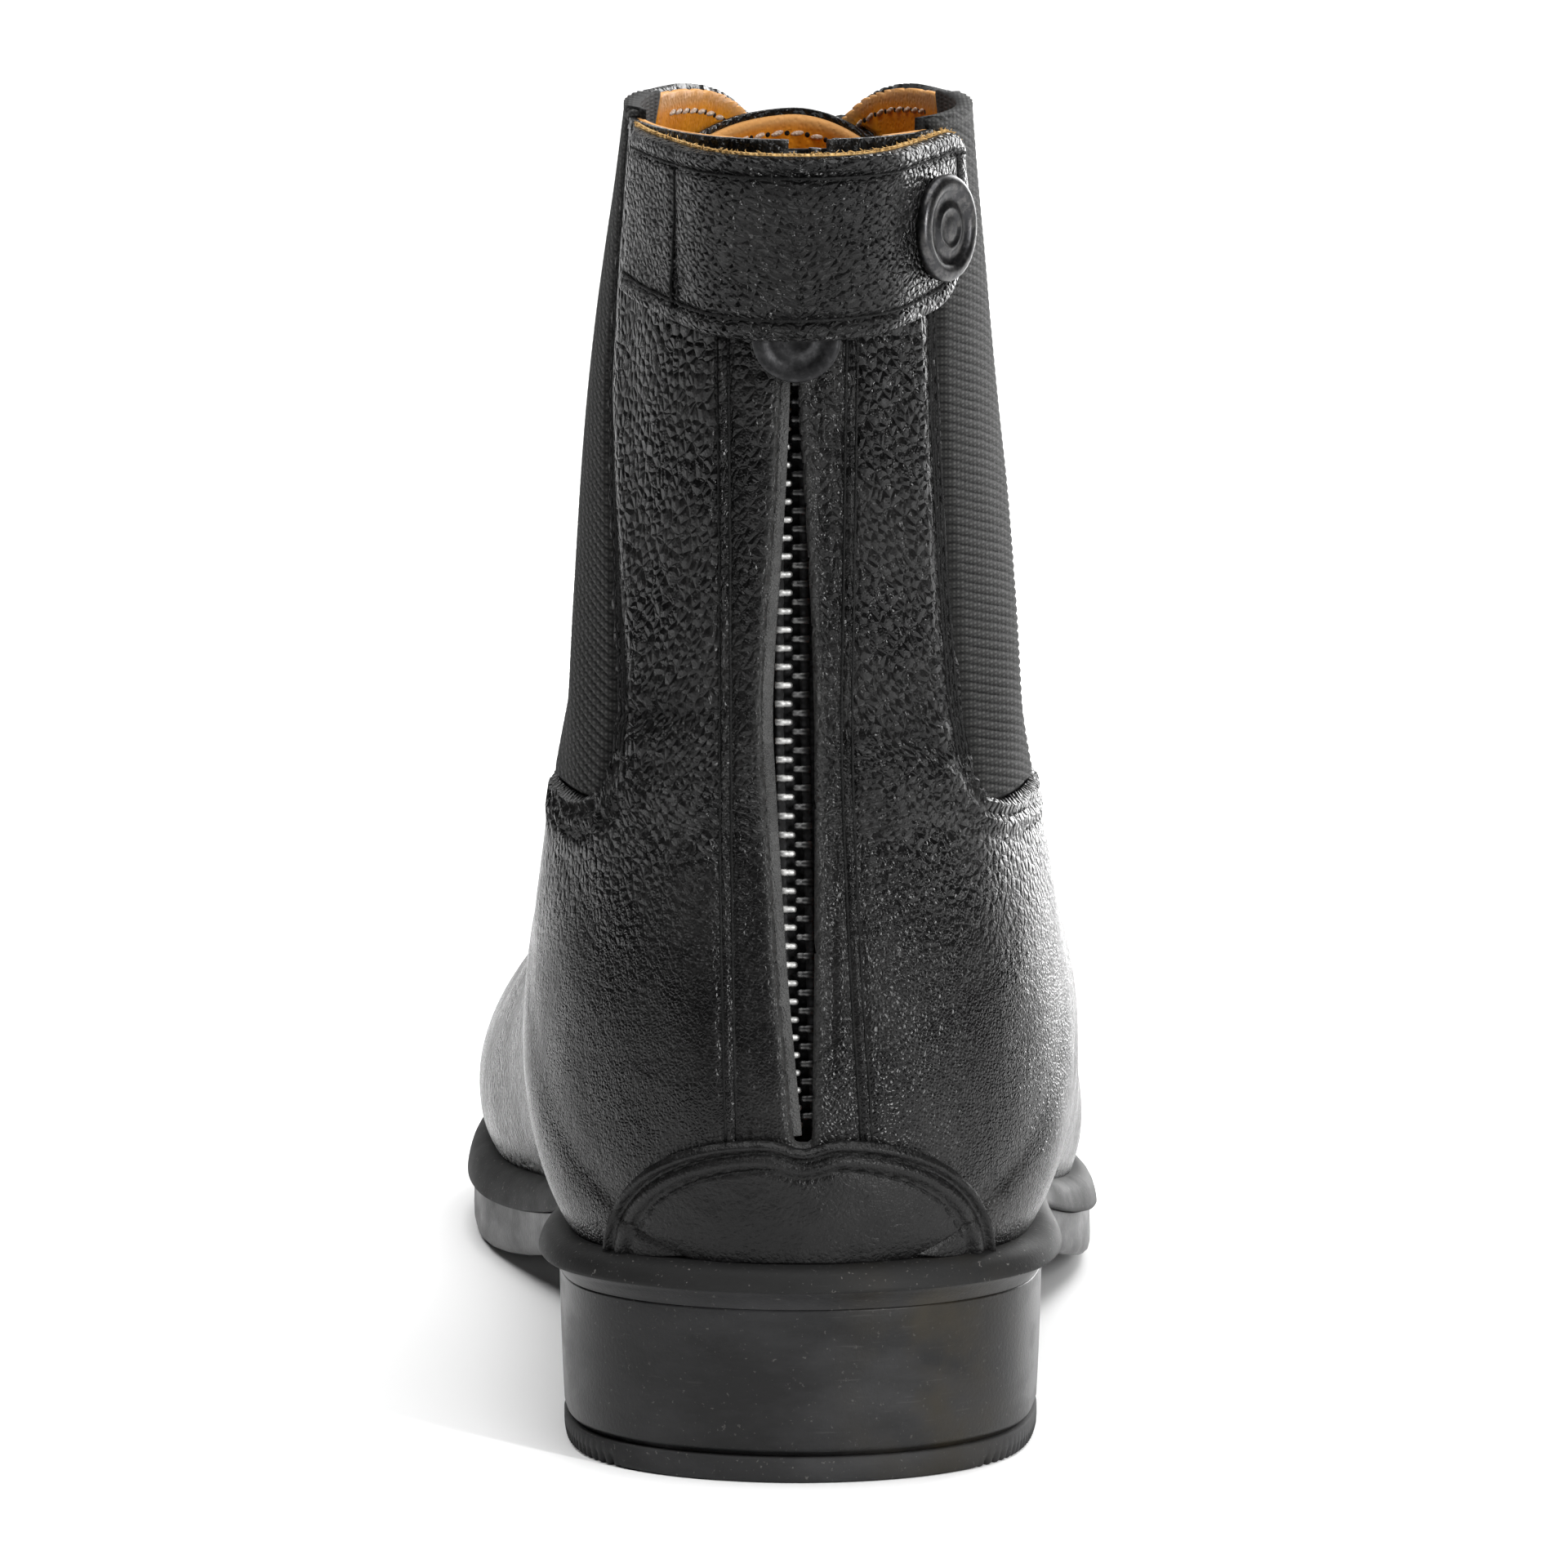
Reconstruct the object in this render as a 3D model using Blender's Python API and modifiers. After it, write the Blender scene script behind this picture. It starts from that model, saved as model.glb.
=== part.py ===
"""Right lace-up ankle boot: leather upper on a curved last, rear zip, elastic gussets, stacked rubber heel.

The shapes are worked out in millimetres, with y counted from the rearmost point of the heel, and placed in
metres with the origin on the floor under the middle of the heel: +X is the outer side, +Y runs to the toe.
"""
import math

import bmesh
import bpy
import numpy as np
from mathutils import Matrix, Vector

MM = 0.001
HEEL_CENTRE = 34.0

# Driving sizes in millimetres
FOOT_LENGTH = 284.0
BALL_WIDTH = 96.0
COLLAR_HEIGHT = 187.0
HEEL_LENGTH = 64.0
WALL = 2.2
GAP = 0.3

# The sizes that the tables below were drawn for
DRAWN_LENGTH = 284.0
DRAWN_BALL_WIDTH = 96.0
DRAWN_COLLAR_HEIGHT = 187.0
LENGTHS = FOOT_LENGTH / DRAWN_LENGTH
WIDTHS = BALL_WIDTH / DRAWN_BALL_WIDTH
HEIGHTS = COLLAR_HEIGHT / DRAWN_COLLAR_HEIGHT

# Sections of the last, from the toe tip over the instep to the collar. Each runs from its base, on the feather
# line or up the back, to its dorsal point. feather is the half width at the base, egg widens the lower half.
COLUMNS = ("base_y", "base_z", "dorsal_y", "dorsal_z", "feather", "base_x", "dorsal_x", "half", "egg")
SECTIONS = (
    (279.5, 21.5, 279.5, 21.5, 0.0, -7.5, -7.5, 0.0, 0.00),
    (278.3, 21.3, 281.0, 26.5, 8.2, -7.5, -7.5, 8.8, 0.10),
    (276.0, 20.7, 281.4, 32.0, 14.0, -7.5, -7.4, 14.9, 0.15),
    (268.0, 19.3, 279.6, 40.0, 24.3, -7.2, -7.3, 25.4, 0.20),
    (255.0, 17.2, 273.0, 47.0, 32.0, -6.7, -7.2, 33.0, 0.25),
    (240.0, 15.1, 261.0, 52.6, 37.2, -6.2, -7.0, 38.2, 0.28),
    (222.0, 13.4, 243.0, 58.0, 41.2, -5.4, -6.6, 42.2, 0.30),
    (202.0, 12.6, 222.0, 63.3, 43.0, -3.9, -6.0, 43.8, 0.30),
    (182.0, 13.0, 201.0, 69.5, 42.9, -1.7, -5.0, 43.8, 0.30),
    (162.0, 14.5, 183.0, 77.5, 40.4, 0.4, -4.0, 42.0, 0.30),
    (140.0, 17.6, 168.0, 87.0, 36.4, 1.6, -3.0, 40.0, 0.30),
    (118.0, 21.8, 154.0, 98.0, 32.6, 2.2, -2.2, 38.9, 0.30),
    (92.0, 26.6, 143.5, 108.5, 30.8, 1.8, -1.6, 38.4, 0.30),
    (66.0, 29.0, 136.0, 118.0, 31.2, 0.8, -1.2, 37.6, 0.32),
    (42.0, 29.6, 131.0, 126.0, 32.4, 0.2, -1.0, 36.6, 0.40),
    (22.0, 29.9, 127.5, 132.5, 28.7, 0.0, -0.9, 35.8, 0.45),
    (9.5, 30.2, 125.0, 138.0, 17.0, 0.0, -0.8, 35.0, 0.46),
    (5.0, 30.3, 123.0, 143.0, 0.0, 0.0, -0.9, 34.4, 0.44),
    (2.5, 45.0, 121.0, 150.0, 0.0, -0.3, -1.2, 32.8, 0.40),
    (3.0, 60.0, 119.5, 156.0, 0.0, -0.3, -0.9, 31.3, 0.30),
    (6.5, 78.0, 118.2, 162.0, 0.0, -0.3, -0.9, 31.0, 0.20),
    (10.5, 96.0, 117.2, 167.0, 0.0, -0.4, -1.0, 30.4, 0.12),
    (13.0, 115.0, 116.3, 172.0, 0.0, -0.6, -1.2, 29.3, 0.10),
    (14.0, 135.0, 115.5, 177.0, 0.0, -0.7, -1.0, 28.0, 0.10),
    (14.0, 152.0, 115.0, 181.0, 0.0, -0.5, -0.7, 26.8, 0.10),
    (13.5, 168.0, 114.6, 184.0, 0.0, -0.3, -0.4, 25.6, 0.10),
    (13.0, 185.0, 114.3, 187.0, 0.0, -0.1, -0.1, 24.5, 0.10),
)
HEEL_TIP_ROW = 17
TOP_ROW = len(SECTIONS) - 1
LOWEST_LEG_ROW = 9
SKIN_COLUMNS = 32
COLUMN_SCALES = (LENGTHS, HEIGHTS, LENGTHS, HEIGHTS, WIDTHS, WIDTHS, WIDTHS, WIDTHS, 1.0)

# Sole heights along the foot: welt thickness, underside of the outsole, and how far the outsole and the welt
# stand out from the feather line
SOLE_COLUMNS = ("y", "welt", "tread_z", "sole_out", "welt_out")
SOLE = (
    (5.0, 2.7, 24.5, 1.2, 4.4),
    (36.0, 2.7, 24.2, 1.2, 4.6),
    (66.0, 2.8, 23.2, 1.2, 4.4),
    (92.0, 3.0, 18.6, 1.8, 3.8),
    (118.0, 3.3, 12.2, 2.6, 3.8),
    (140.0, 3.7, 7.0, 3.2, 4.2),
    (155.0, 3.8, 4.2, 3.5, 4.5),
    (168.0, 3.8, 2.2, 3.6, 4.6),
    (180.0, 3.8, 0.9, 3.6, 4.6),
    (191.0, 3.8, 0.0, 3.6, 4.6),
    (224.0, 3.8, 0.0, 3.6, 4.6),
    (240.0, 3.8, 1.6, 3.6, 4.6),
    (260.0, 3.8, 5.4, 3.4, 4.6),
    (279.5, 3.8, 10.2, 3.4, 4.6),
)
TOP_LIFT = 3.6
HEEL_OUT = 1.7
INSOLE = 3.0
INSOLE_INSET = 4.2

# Zip slot: the two flap edges at each height
ZIP_COLUMNS = ("z", "left", "right")
ZIP = (
    (46.5, -0.6, 1.8),
    (70.0, -2.9, 2.1),
    (92.0, -4.4, 2.2),
    (105.0, -5.3, 2.2),
    (116.0, -4.8, 1.9),
    (135.0, -3.3, 0.9),
    (150.0, -2.6, -0.3),
    (170.0, -2.4, 1.6),
    (187.0, -1.4, 4.4),
)
ZIP_TAPE_HALF = 12.0
ZIP_CHAIN_HALF = 2.9
ZIP_CHAIN_THICKNESS = 1.3
ZIP_TAPE_THICKNESS = 0.7
PULL_PIVOT_Z = 170.0
PULL_PIVOT_OUT = 1.6
PULL_DISC_Z = 158.0
PULL_DISC_RADIUS = 6.1
PULL_DISC_THICKNESS = 1.2

# Gussets, collar strap, throat and eyelets
GUSSET_BOTTOM = 88.0
GUSSET_FRONT = 80.0
GUSSET_INNER = -2.0
GUSSET_OUTER = -0.7
GUSSET_CLEAR = 0.4
GUSSET_REAR = {"medial": 38.9, "lateral": 30.0}
STRAP_END = {"medial": 37.0, "lateral": 29.0}
STRAP_BOTTOM = 158.0
STRAP_TOP = 183.3
STRAP_BOTTOM_RISE = 5.0
STRAP_TOP_RISE = 1.9
STRAP_THICKNESS = 1.6
STRAP_STANDOFF = 4.4
STRAP_BOW = 13.5
COUNTER_HALF = 26.0
COUNTER_HEIGHT = 48.6
COUNTER_FOOT = 31.3
COUNTER_FOOT_DROP = 0.5
COUNTER_END = 2.5
COUNTER_SQUARENESS = 2.6
COUNTER_DIP_HALF = 3.0
COUNTER_DIP = 1.3
COUNTER_THICKNESS = 1.0
SNAP_RADIUS = 7.5
SNAP_X = 19.0
SNAP_Z = 172.0
THROAT_BOTTOM = 93.0
THROAT_HALF = 6.2
THROAT_ROUND = 4.0
TONGUE_HALF = 17.0
TONGUE_TOP = 182.7
TONGUE_TUCK = 9.0
TONGUE_THICKNESS = 1.8
EYELET_PAIRS = 7
EYELET_LOW = 103.0
EYELET_HIGH = 177.0
EYELET_OUT = 12.5
EYELET_HOLE = 2.3
EYELET_FLANGE = 3.8
EYELET_SEAT = 0.6
EYELET_TOP = 1.25
EYELET_SIDES = 8
LACE_RADIUS = 1.2
LACE_OUT = 3.0

# Cutters reach this far through the wall and above the collar
THROUGH = 6.0
ABOVE_COLLAR = COLLAR_HEIGHT + 8.0


def column(table, names, name):
    return np.array([row[names.index(name)] for row in table], dtype=float)


def sole_value(name, y):
    return np.interp(y, column(SOLE, SOLE_COLUMNS, "y"), column(SOLE, SOLE_COLUMNS, name))


def catmull(values, at):
    """Smooth curve through values spaced one apart, read at the real positions at."""
    at = np.asarray(at, dtype=float)
    low = np.clip(np.floor(at).astype(int), 0, len(values) - 2)
    t = at - low
    last = len(values) - 1
    before = values[np.maximum(low - 1, 0)]
    first = values[low]
    second = values[low + 1]
    after = values[np.minimum(low + 2, last)]
    return first + 0.5 * t * (second - before + t * (
        2 * before - 5 * first + 4 * second - after + t * (3 * (first - second) + after - before)))


def section(row):
    """All section columns at a real row number, as a dictionary of arrays."""
    found = {}
    for name, scale in zip(COLUMNS, COLUMN_SCALES):
        found[name] = catmull(column(SECTIONS, COLUMNS, name) * scale, row)
    return found


def girth(angle, egg):
    return np.sin(angle) * (1 + egg * np.cos(angle))


def start_angle(feather, half, egg):
    """Angle at which a section is as wide as the feather line, by halving."""
    low = np.zeros_like(half)
    high = np.full_like(half, 0.45 * math.pi)
    share = np.clip(feather, 0, None) / np.maximum(half, 1e-6)
    for _ in range(30):
        middle = (low + high) / 2
        under = girth(middle, egg) < share
        low = np.where(under, middle, low)
        high = np.where(under, high, middle)
    return np.where(share > 1e-4, low, 0.0)


def skin(row, turn):
    """Point of the outer face of the upper: turn runs from 0 at the back over the inner side round to 1."""
    row, turn = np.broadcast_arrays(np.asarray(row, float), np.asarray(turn, float))
    s = section(row)
    angle = 2 * math.pi * turn
    lowest = (1 - np.cos(start_angle(s["feather"], s["half"], s["egg"]))) / 2
    rise = ((1 - np.cos(angle)) / 2 - lowest) / (1 - lowest)
    x = s["base_x"] + (s["dorsal_x"] - s["base_x"]) * rise - s["half"] * girth(angle, s["egg"])
    y = s["base_y"] + (s["dorsal_y"] - s["base_y"]) * rise
    z = s["base_z"] + (s["dorsal_z"] - s["base_z"]) * rise
    return np.stack([x, y, z], axis=-1)


def feather_turn(row):
    """Turn at which a section leaves the feather line, which is 0 where it closes behind the heel."""
    s = section(np.asarray(row, float))
    return start_angle(s["feather"], s["half"], s["egg"]) / (2 * math.pi)


def skin_normal(row, turn):
    """Outward unit normal of the skin, from two short steps along it."""
    step = 1e-3
    row = np.minimum(np.asarray(row, float), TOP_ROW - step)
    along = skin(row + step, turn) - skin(row - step, turn)
    around = skin(row, np.asarray(turn) + step) - skin(row, np.asarray(turn) - step)
    normal = np.cross(along, around)
    return normal / np.linalg.norm(normal, axis=-1, keepdims=True)


LEG_ROWS = np.linspace(LOWEST_LEG_ROW, TOP_ROW, 120)
LEG_TURNS = np.linspace(-0.5, 1.0, 301)
LEG = skin(LEG_ROWS[:, None], LEG_TURNS[None, :])


def row_at(z, turn):
    """Row at which the column turn reaches the height z."""
    place = np.interp(turn, LEG_TURNS, np.arange(len(LEG_TURNS)))
    left = int(min(math.floor(place), len(LEG_TURNS) - 2))
    share = place - left
    heights = LEG[:, left, 2] * (1 - share) + LEG[:, left + 1, 2] * share
    return float(np.interp(z, heights, LEG_ROWS))


def on_skin(z, turn, out):
    """Point at a height on the leg, moved out along the normal, and straight on above the collar."""
    row = row_at(z, turn)
    point = skin(row, turn % 1.0) + out * skin_normal(row, turn % 1.0)
    top = skin(TOP_ROW, turn % 1.0)[2]
    if z > top:
        point[2] += z - top
    return point


def turn_where(axis, value, z, first, last):
    """Column between two turns where x (axis 0) or y (axis 1) has a value at the height z."""
    turns = np.linspace(first, last, 41)
    rows = [row_at(z, turn) for turn in turns]
    found = skin(np.array(rows), turns % 1.0)[:, axis]
    order = np.argsort(found)
    return float(np.interp(value, found[order], turns[order]))


def rear_turn(x, z):
    return turn_where(0, x, z, -0.2, 0.2)


def front_turn(x, z):
    return turn_where(0, x, z, 0.3, 0.7)


def side_turn(side, y, z):
    if side == "medial":
        return turn_where(1, y, z, 0.03, 0.47)
    return turn_where(1, y, z, 0.53, 0.97)


def place(points):
    """Millimetres from the heel's back to metres from the origin."""
    return (np.asarray(points, float) - np.array([0.0, HEEL_CENTRE, 0.0])) * MM


def clear_scene():
    for item in list(bpy.data.objects):
        bpy.data.objects.remove(item, do_unlink=True)


def make_collection(name):
    found = bpy.data.collections.new(name)
    bpy.context.scene.collection.children.link(found)
    return found


def make_material(name, colour, roughness, metallic=0.0):
    material = bpy.data.materials.new(name)
    material.use_nodes = True
    shader = material.node_tree.nodes["Principled BSDF"]
    shader.inputs["Base Color"].default_value = (*colour, 1.0)
    shader.inputs["Roughness"].default_value = roughness
    shader.inputs["Metallic"].default_value = metallic
    return material


clear_scene()
BOOT = make_collection("lace_up_ankle_boot")
CUTTERS = make_collection("cutters")
FINISHES = {
    "leather": ((0.025, 0.025, 0.027), 0.42, 0.0),
    "rubber": ((0.022, 0.022, 0.023), 0.55, 0.0),
    "elastic": ((0.05, 0.05, 0.055), 0.85, 0.0),
    "fabric": ((0.03, 0.03, 0.03), 0.9, 0.0),
    "lining": ((0.55, 0.22, 0.05), 0.7, 0.0),
    "steel": ((0.25, 0.25, 0.26), 0.35, 1.0),
}


def add_object(name, mesh, finish):
    """Object of a mesh: a part with its own material, or a cutter where finish is None."""
    item = bpy.data.objects.new(name, mesh)
    if finish is None:
        CUTTERS.objects.link(item)
        item.hide_render = True
        item.display_type = "WIRE"
        return item
    BOOT.objects.link(item)
    mesh.materials.clear()
    mesh.materials.append(make_material(name, *FINISHES[finish]))
    mesh.shade_smooth()
    mesh.set_sharp_from_angle(angle=math.radians(40))
    return item


def mesh_from(name, points, faces):
    """Mesh of points in millimetres, with coinciding points merged and all faces turned outward."""
    mesh = bpy.data.meshes.new(name)
    mesh.from_pydata([tuple(p) for p in place(points)], [], faces)
    work = bmesh.new()
    work.from_mesh(mesh)
    bmesh.ops.remove_doubles(work, verts=work.verts, dist=1e-6)
    bmesh.ops.dissolve_degenerate(work, edges=work.edges, dist=1e-7)
    bmesh.ops.recalc_face_normals(work, faces=work.faces)
    bmesh.ops.triangulate(work, faces=work.faces)
    work.to_mesh(mesh)
    work.free()
    return mesh


def add_boolean(item, other, operation):
    modifier = item.modifiers.new(operation.lower() + "_" + other.name, "BOOLEAN")
    modifier.operation = operation
    modifier.object = other
    modifier.solver = "EXACT"


def slab(name, outer, inner, finish):
    """Closed sheet between two grids of the same size."""
    rows, columns = outer.shape[:2]
    points = np.concatenate([outer.reshape(-1, 3), inner.reshape(-1, 3)])
    shift = rows * columns

    def at(i, j):
        return i * columns + j

    faces = []
    for i in range(rows - 1):
        for j in range(columns - 1):
            quad = (at(i, j), at(i, j + 1), at(i + 1, j + 1), at(i + 1, j))
            faces.append(quad)
            faces.append(tuple(shift + v for v in reversed(quad)))
    edges = [(at(0, j), at(0, j + 1)) for j in range(columns - 1)]
    edges += [(at(i, columns - 1), at(i + 1, columns - 1)) for i in range(rows - 1)]
    edges += [(at(rows - 1, j + 1), at(rows - 1, j)) for j in reversed(range(columns - 1))]
    edges += [(at(i + 1, 0), at(i, 0)) for i in reversed(range(rows - 1))]
    for a, b in edges:
        faces.append((b, a, a + shift, b + shift))
    return add_object(name, mesh_from(name, points, faces), finish)


def patch(name, finish, edges, heights, outs, size):
    """Sheet on the skin. edges(z) gives its two columns, heights(share) its lower and upper height at a share
    of the way across, and outs(point) how far its inner and outer faces stand off the skin."""
    columns, rows = size
    grids = np.zeros((2, rows, columns, 3))
    for j, across in enumerate(np.linspace(0, 1, columns)):
        low, high = heights(across)
        for i, z in enumerate(np.linspace(low, high, rows)):
            first, last = edges(z)
            turn = first + (last - first) * across
            inner, outer = outs(on_skin(z, turn, 0.0))
            grids[0, i, j] = on_skin(z, turn, outer)
            grids[1, i, j] = on_skin(z, turn, inner)
    return slab(name, grids[0], grids[1], finish)


def level(low, high):
    return lambda across: (low, high)


def layer(inner, outer):
    return lambda point: (inner, outer)


def add_upper():
    """Leather shell: the skin's grid thickened inward, then opened at throat, zip and gussets."""
    rows = np.arange(TOP_ROW + 1)[:, None]
    first = feather_turn(rows)
    turns = first + (1 - 2 * first) * np.linspace(0, 1, SKIN_COLUMNS + 1)[None, :]
    points = skin(rows, turns)
    wide = SKIN_COLUMNS + 1
    faces = []
    for i in range(TOP_ROW):
        for j in range(SKIN_COLUMNS):
            corner = i * wide + j
            faces.append((corner, corner + wide, corner + wide + 1, corner + 1))
    mesh = bpy.data.meshes.new("upper")
    mesh.from_pydata([tuple(p) for p in place(points.reshape(-1, 3))], [], faces)
    work = bmesh.new()
    work.from_mesh(mesh)
    bmesh.ops.remove_doubles(work, verts=work.verts, dist=1e-6)
    work.to_mesh(mesh)
    work.free()
    item = add_object("upper", mesh, "leather")
    shell = item.modifiers.new("wall", "SOLIDIFY")
    shell.thickness = WALL * MM
    shell.offset = -1.0
    item.modifiers.new("flat_faces", "TRIANGULATE")
    return item


def zip_edges(z):
    heights = column(ZIP, ZIP_COLUMNS, "z")
    return [float(np.interp(z, heights, column(ZIP, ZIP_COLUMNS, name))) for name in ("left", "right")]


def zip_middle(z):
    return sum(zip_edges(z)) / 2


def throat_middle(z):
    return float(skin(row_at(z, 0.5), 0.5)[0])


def open_upper(upper):
    """Throat, zip slot and gusset windows, each cut by a sheet worked out from the skin itself."""

    def throat_low(across):
        return THROAT_BOTTOM + THROAT_ROUND * (2 * across - 1) ** 2, ABOVE_COLLAR

    def throat_sides(z):
        middle = throat_middle(z)
        return front_turn(middle - THROAT_HALF, z), front_turn(middle + THROAT_HALF, z)

    def slot_sides(z):
        left, right = zip_edges(z)
        return rear_turn(left, z), rear_turn(right, z)

    through = layer(-THROUGH, THROUGH)
    throat = patch("throat_cutter", None, throat_sides, throat_low, through, (7, 14))
    add_boolean(upper, throat, "DIFFERENCE")
    slot_heights = level(ZIP[0][0], ABOVE_COLLAR)
    slot = patch("zip_slot_cutter", None, slot_sides, slot_heights, through, (3, 16))
    add_boolean(upper, slot, "DIFFERENCE")
    for side, rear in GUSSET_REAR.items():
        window_heights = level(GUSSET_BOTTOM, ABOVE_COLLAR)
        edges = gusset_edges(side, rear, GUSSET_FRONT)
        window = patch("window_cutter_" + side, None, edges, window_heights, through, (7, 9))
        add_boolean(upper, window, "DIFFERENCE")


def gusset_edges(side, rear, front):
    return lambda z: (side_turn(side, rear, z), side_turn(side, front, z))


def add_gussets():
    """Elastic sheet inside each window, a little under the leather's face."""
    for side, rear in GUSSET_REAR.items():
        edges = gusset_edges(side, rear + GUSSET_CLEAR, GUSSET_FRONT - GUSSET_CLEAR)
        heights = level(GUSSET_BOTTOM + GUSSET_CLEAR, COLLAR_HEIGHT + GUSSET_CLEAR)
        patch("gusset_" + side, "elastic", edges, heights, layer(GUSSET_INNER, GUSSET_OUTER), (7, 9))


def add_tongue():
    def edges(z):
        middle = throat_middle(z)
        return front_turn(middle - TONGUE_HALF, z), front_turn(middle + TONGUE_HALF, z)

    outer = -WALL - 4 * GAP
    heights = level(THROAT_BOTTOM - TONGUE_TUCK, TONGUE_TOP)
    patch("tongue", "leather", edges, heights, layer(outer - TONGUE_THICKNESS, outer), (9, 11))


def strap_inner(point):
    """Stand-off of the strap: it lies on the leather at its ends and clears the zip pull in the middle."""
    bow = math.exp(-((point[0] - zip_middle(PULL_PIVOT_Z)) / STRAP_BOW) ** 4)
    return GAP + STRAP_STANDOFF * bow


def add_strap():
    def edges(z):
        lateral = side_turn("lateral", STRAP_END["lateral"], z) - 1.0
        return lateral, side_turn("medial", STRAP_END["medial"], z)

    def heights(across):
        spread = (2 * across - 1) ** 2
        return STRAP_BOTTOM + STRAP_BOTTOM_RISE * spread, STRAP_TOP + STRAP_TOP_RISE * spread

    def outs(point):
        inner = strap_inner(point)
        return inner, inner + STRAP_THICKNESS

    patch("collar_strap", "leather", edges, heights, outs, (21, 4))


def add_counter():
    """Patch over the back of the heel, with a shallow dip in its top edge under the zip."""

    def edges(z):
        return rear_turn(-COUNTER_HALF, z), rear_turn(COUNTER_HALF, z)

    def heights(across):
        x = (2 * across - 1) * COUNTER_HALF
        low = COUNTER_FOOT - COUNTER_FOOT_DROP * (x / COUNTER_HALF) ** 2
        dome = math.sqrt(max(0.0, 1 - abs(x / COUNTER_HALF) ** COUNTER_SQUARENESS))
        dip = COUNTER_DIP * math.exp(-(x / COUNTER_DIP_HALF) ** 2)
        high = low + (COUNTER_HEIGHT - low) * dome - dip
        return low, max(high, low + COUNTER_END)

    patch("heel_counter", "leather", edges, heights, layer(2 * GAP, 2 * GAP + COUNTER_THICKNESS), (17, 5))


def add_zip():
    """Tape and chain under the wall, with the chain seen through the slot."""

    def strip(half):
        return lambda z: (rear_turn(zip_middle(z) - half, z), rear_turn(zip_middle(z) + half, z))

    heights = level(ZIP[0][0] + 1.0, STRAP_TOP)
    chain_outer = -WALL - 2.5 * GAP
    chain_inner = chain_outer - ZIP_CHAIN_THICKNESS
    patch("zip_chain", "steel", strip(ZIP_CHAIN_HALF), heights, layer(chain_inner, chain_outer), (3, 12))
    tape_outer = chain_inner - GAP
    tape_layer = layer(tape_outer - ZIP_TAPE_THICKNESS, tape_outer)
    patch("zip_tape", "fabric", strip(ZIP_TAPE_HALF), heights, tape_layer, (5, 12))


def box_object(name, low, high, finish):
    """Box between two corners given as across, out and height about the zip pull's pivot."""
    middle = zip_middle(PULL_PIVOT_Z)
    back = on_skin(PULL_PIVOT_Z, rear_turn(middle, PULL_PIVOT_Z), 0.0)[1]
    corners = place([(middle + x, back - out, PULL_PIVOT_Z + z) for x, out, z in (low, high)])
    mesh = bpy.data.meshes.new(name)
    work = bmesh.new()
    bmesh.ops.create_cube(work, size=1.0)
    size = Matrix.Diagonal((*np.abs(corners[1] - corners[0]), 1.0))
    bmesh.ops.transform(work, matrix=Matrix.Translation(corners.mean(axis=0)) @ size, verts=work.verts)
    work.to_mesh(mesh)
    work.free()
    return add_object(name, mesh, finish)


def add_slider():
    """Zip slider: a plate on the flaps, a neck through the slot and a bridge that carries the pull."""
    slider = box_object("zip_slider", (-3.5, GAP, -4.5), (3.5, 0.9, 5.5), "steel")
    pieces = (
        ("slider_neck", (-0.9, -2.2, -3.0), (0.9, 0.6, 3.0)),
        ("slider_low_post", (-1.0, 0.6, -2.9), (1.0, 2.6, -1.9)),
        ("slider_high_post", (-1.0, 0.6, 2.1), (1.0, 2.6, 3.1)),
        ("slider_bridge", (-1.0, 2.35, -2.9), (1.0, 2.95, 3.1)),
    )
    for name, low, high in pieces:
        add_boolean(slider, box_object(name, low, high, None), "UNION")


def add_pull():
    """Round zip pull on a loop whose top bar turns under the slider's bridge. Its origin is the hinge axis."""
    middle = zip_middle(PULL_PIVOT_Z)
    back = on_skin(PULL_PIVOT_Z, rear_turn(middle, PULL_PIVOT_Z), 0.0)[1]
    pivot = Vector(place((middle, back - PULL_PIVOT_OUT, PULL_PIVOT_Z)))
    mesh = bpy.data.meshes.new("zip_pull")
    work = bmesh.new()
    bmesh.ops.create_cone(work, cap_ends=True, segments=24, radius1=PULL_DISC_RADIUS * MM,
                          radius2=PULL_DISC_RADIUS * MM, depth=PULL_DISC_THICKNESS * MM)
    drop = Matrix.Translation((0, 0, (PULL_DISC_Z - PULL_PIVOT_Z) * MM))
    bmesh.ops.transform(work, matrix=drop @ Matrix.Rotation(math.pi / 2, 4, "X"), verts=work.verts)
    work.to_mesh(mesh)
    work.free()
    pull = add_object("zip_pull", mesh, "steel")
    pull.location = pivot
    pieces = (
        ("pull_bar", (-2.7, 1.15, -0.45), (2.7, 2.05, 0.45)),
        ("pull_left_rail", (-2.7, 1.15, -7.5), (-1.7, 2.05, 0.4)),
        ("pull_right_rail", (1.7, 1.15, -7.5), (2.7, 2.05, 0.4)),
    )
    for name, low, high in pieces:
        add_boolean(pull, box_object(name, low, high, None), "UNION")


def facing(point, normal):
    """Matrix that puts local Z along an outward normal at a point given in millimetres."""
    turn = Vector(normal).to_track_quat("Z", "Y").to_matrix().to_4x4()
    return Matrix.Translation(Vector(place(point))) @ turn


def add_turned(name, profile, matrix, steps, finish):
    """Solid turned about local Z from a profile of radius and height, run down its outer side."""
    closed = profile[0][0] > 0
    count = len(profile)
    edges = [(i, (i + 1) % count) for i in range(count if closed else count - 1)]
    mesh = bpy.data.meshes.new(name)
    mesh.from_pydata([(radius * MM, 0.0, height * MM) for radius, height in profile], edges, [])
    item = add_object(name, mesh, finish)
    item.matrix_world = matrix
    screw = item.modifiers.new("turn", "SCREW")
    screw.axis = "Z"
    screw.steps = steps
    screw.render_steps = steps
    screw.use_merge_vertices = True
    screw.merge_threshold = 1e-6
    return item


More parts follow.
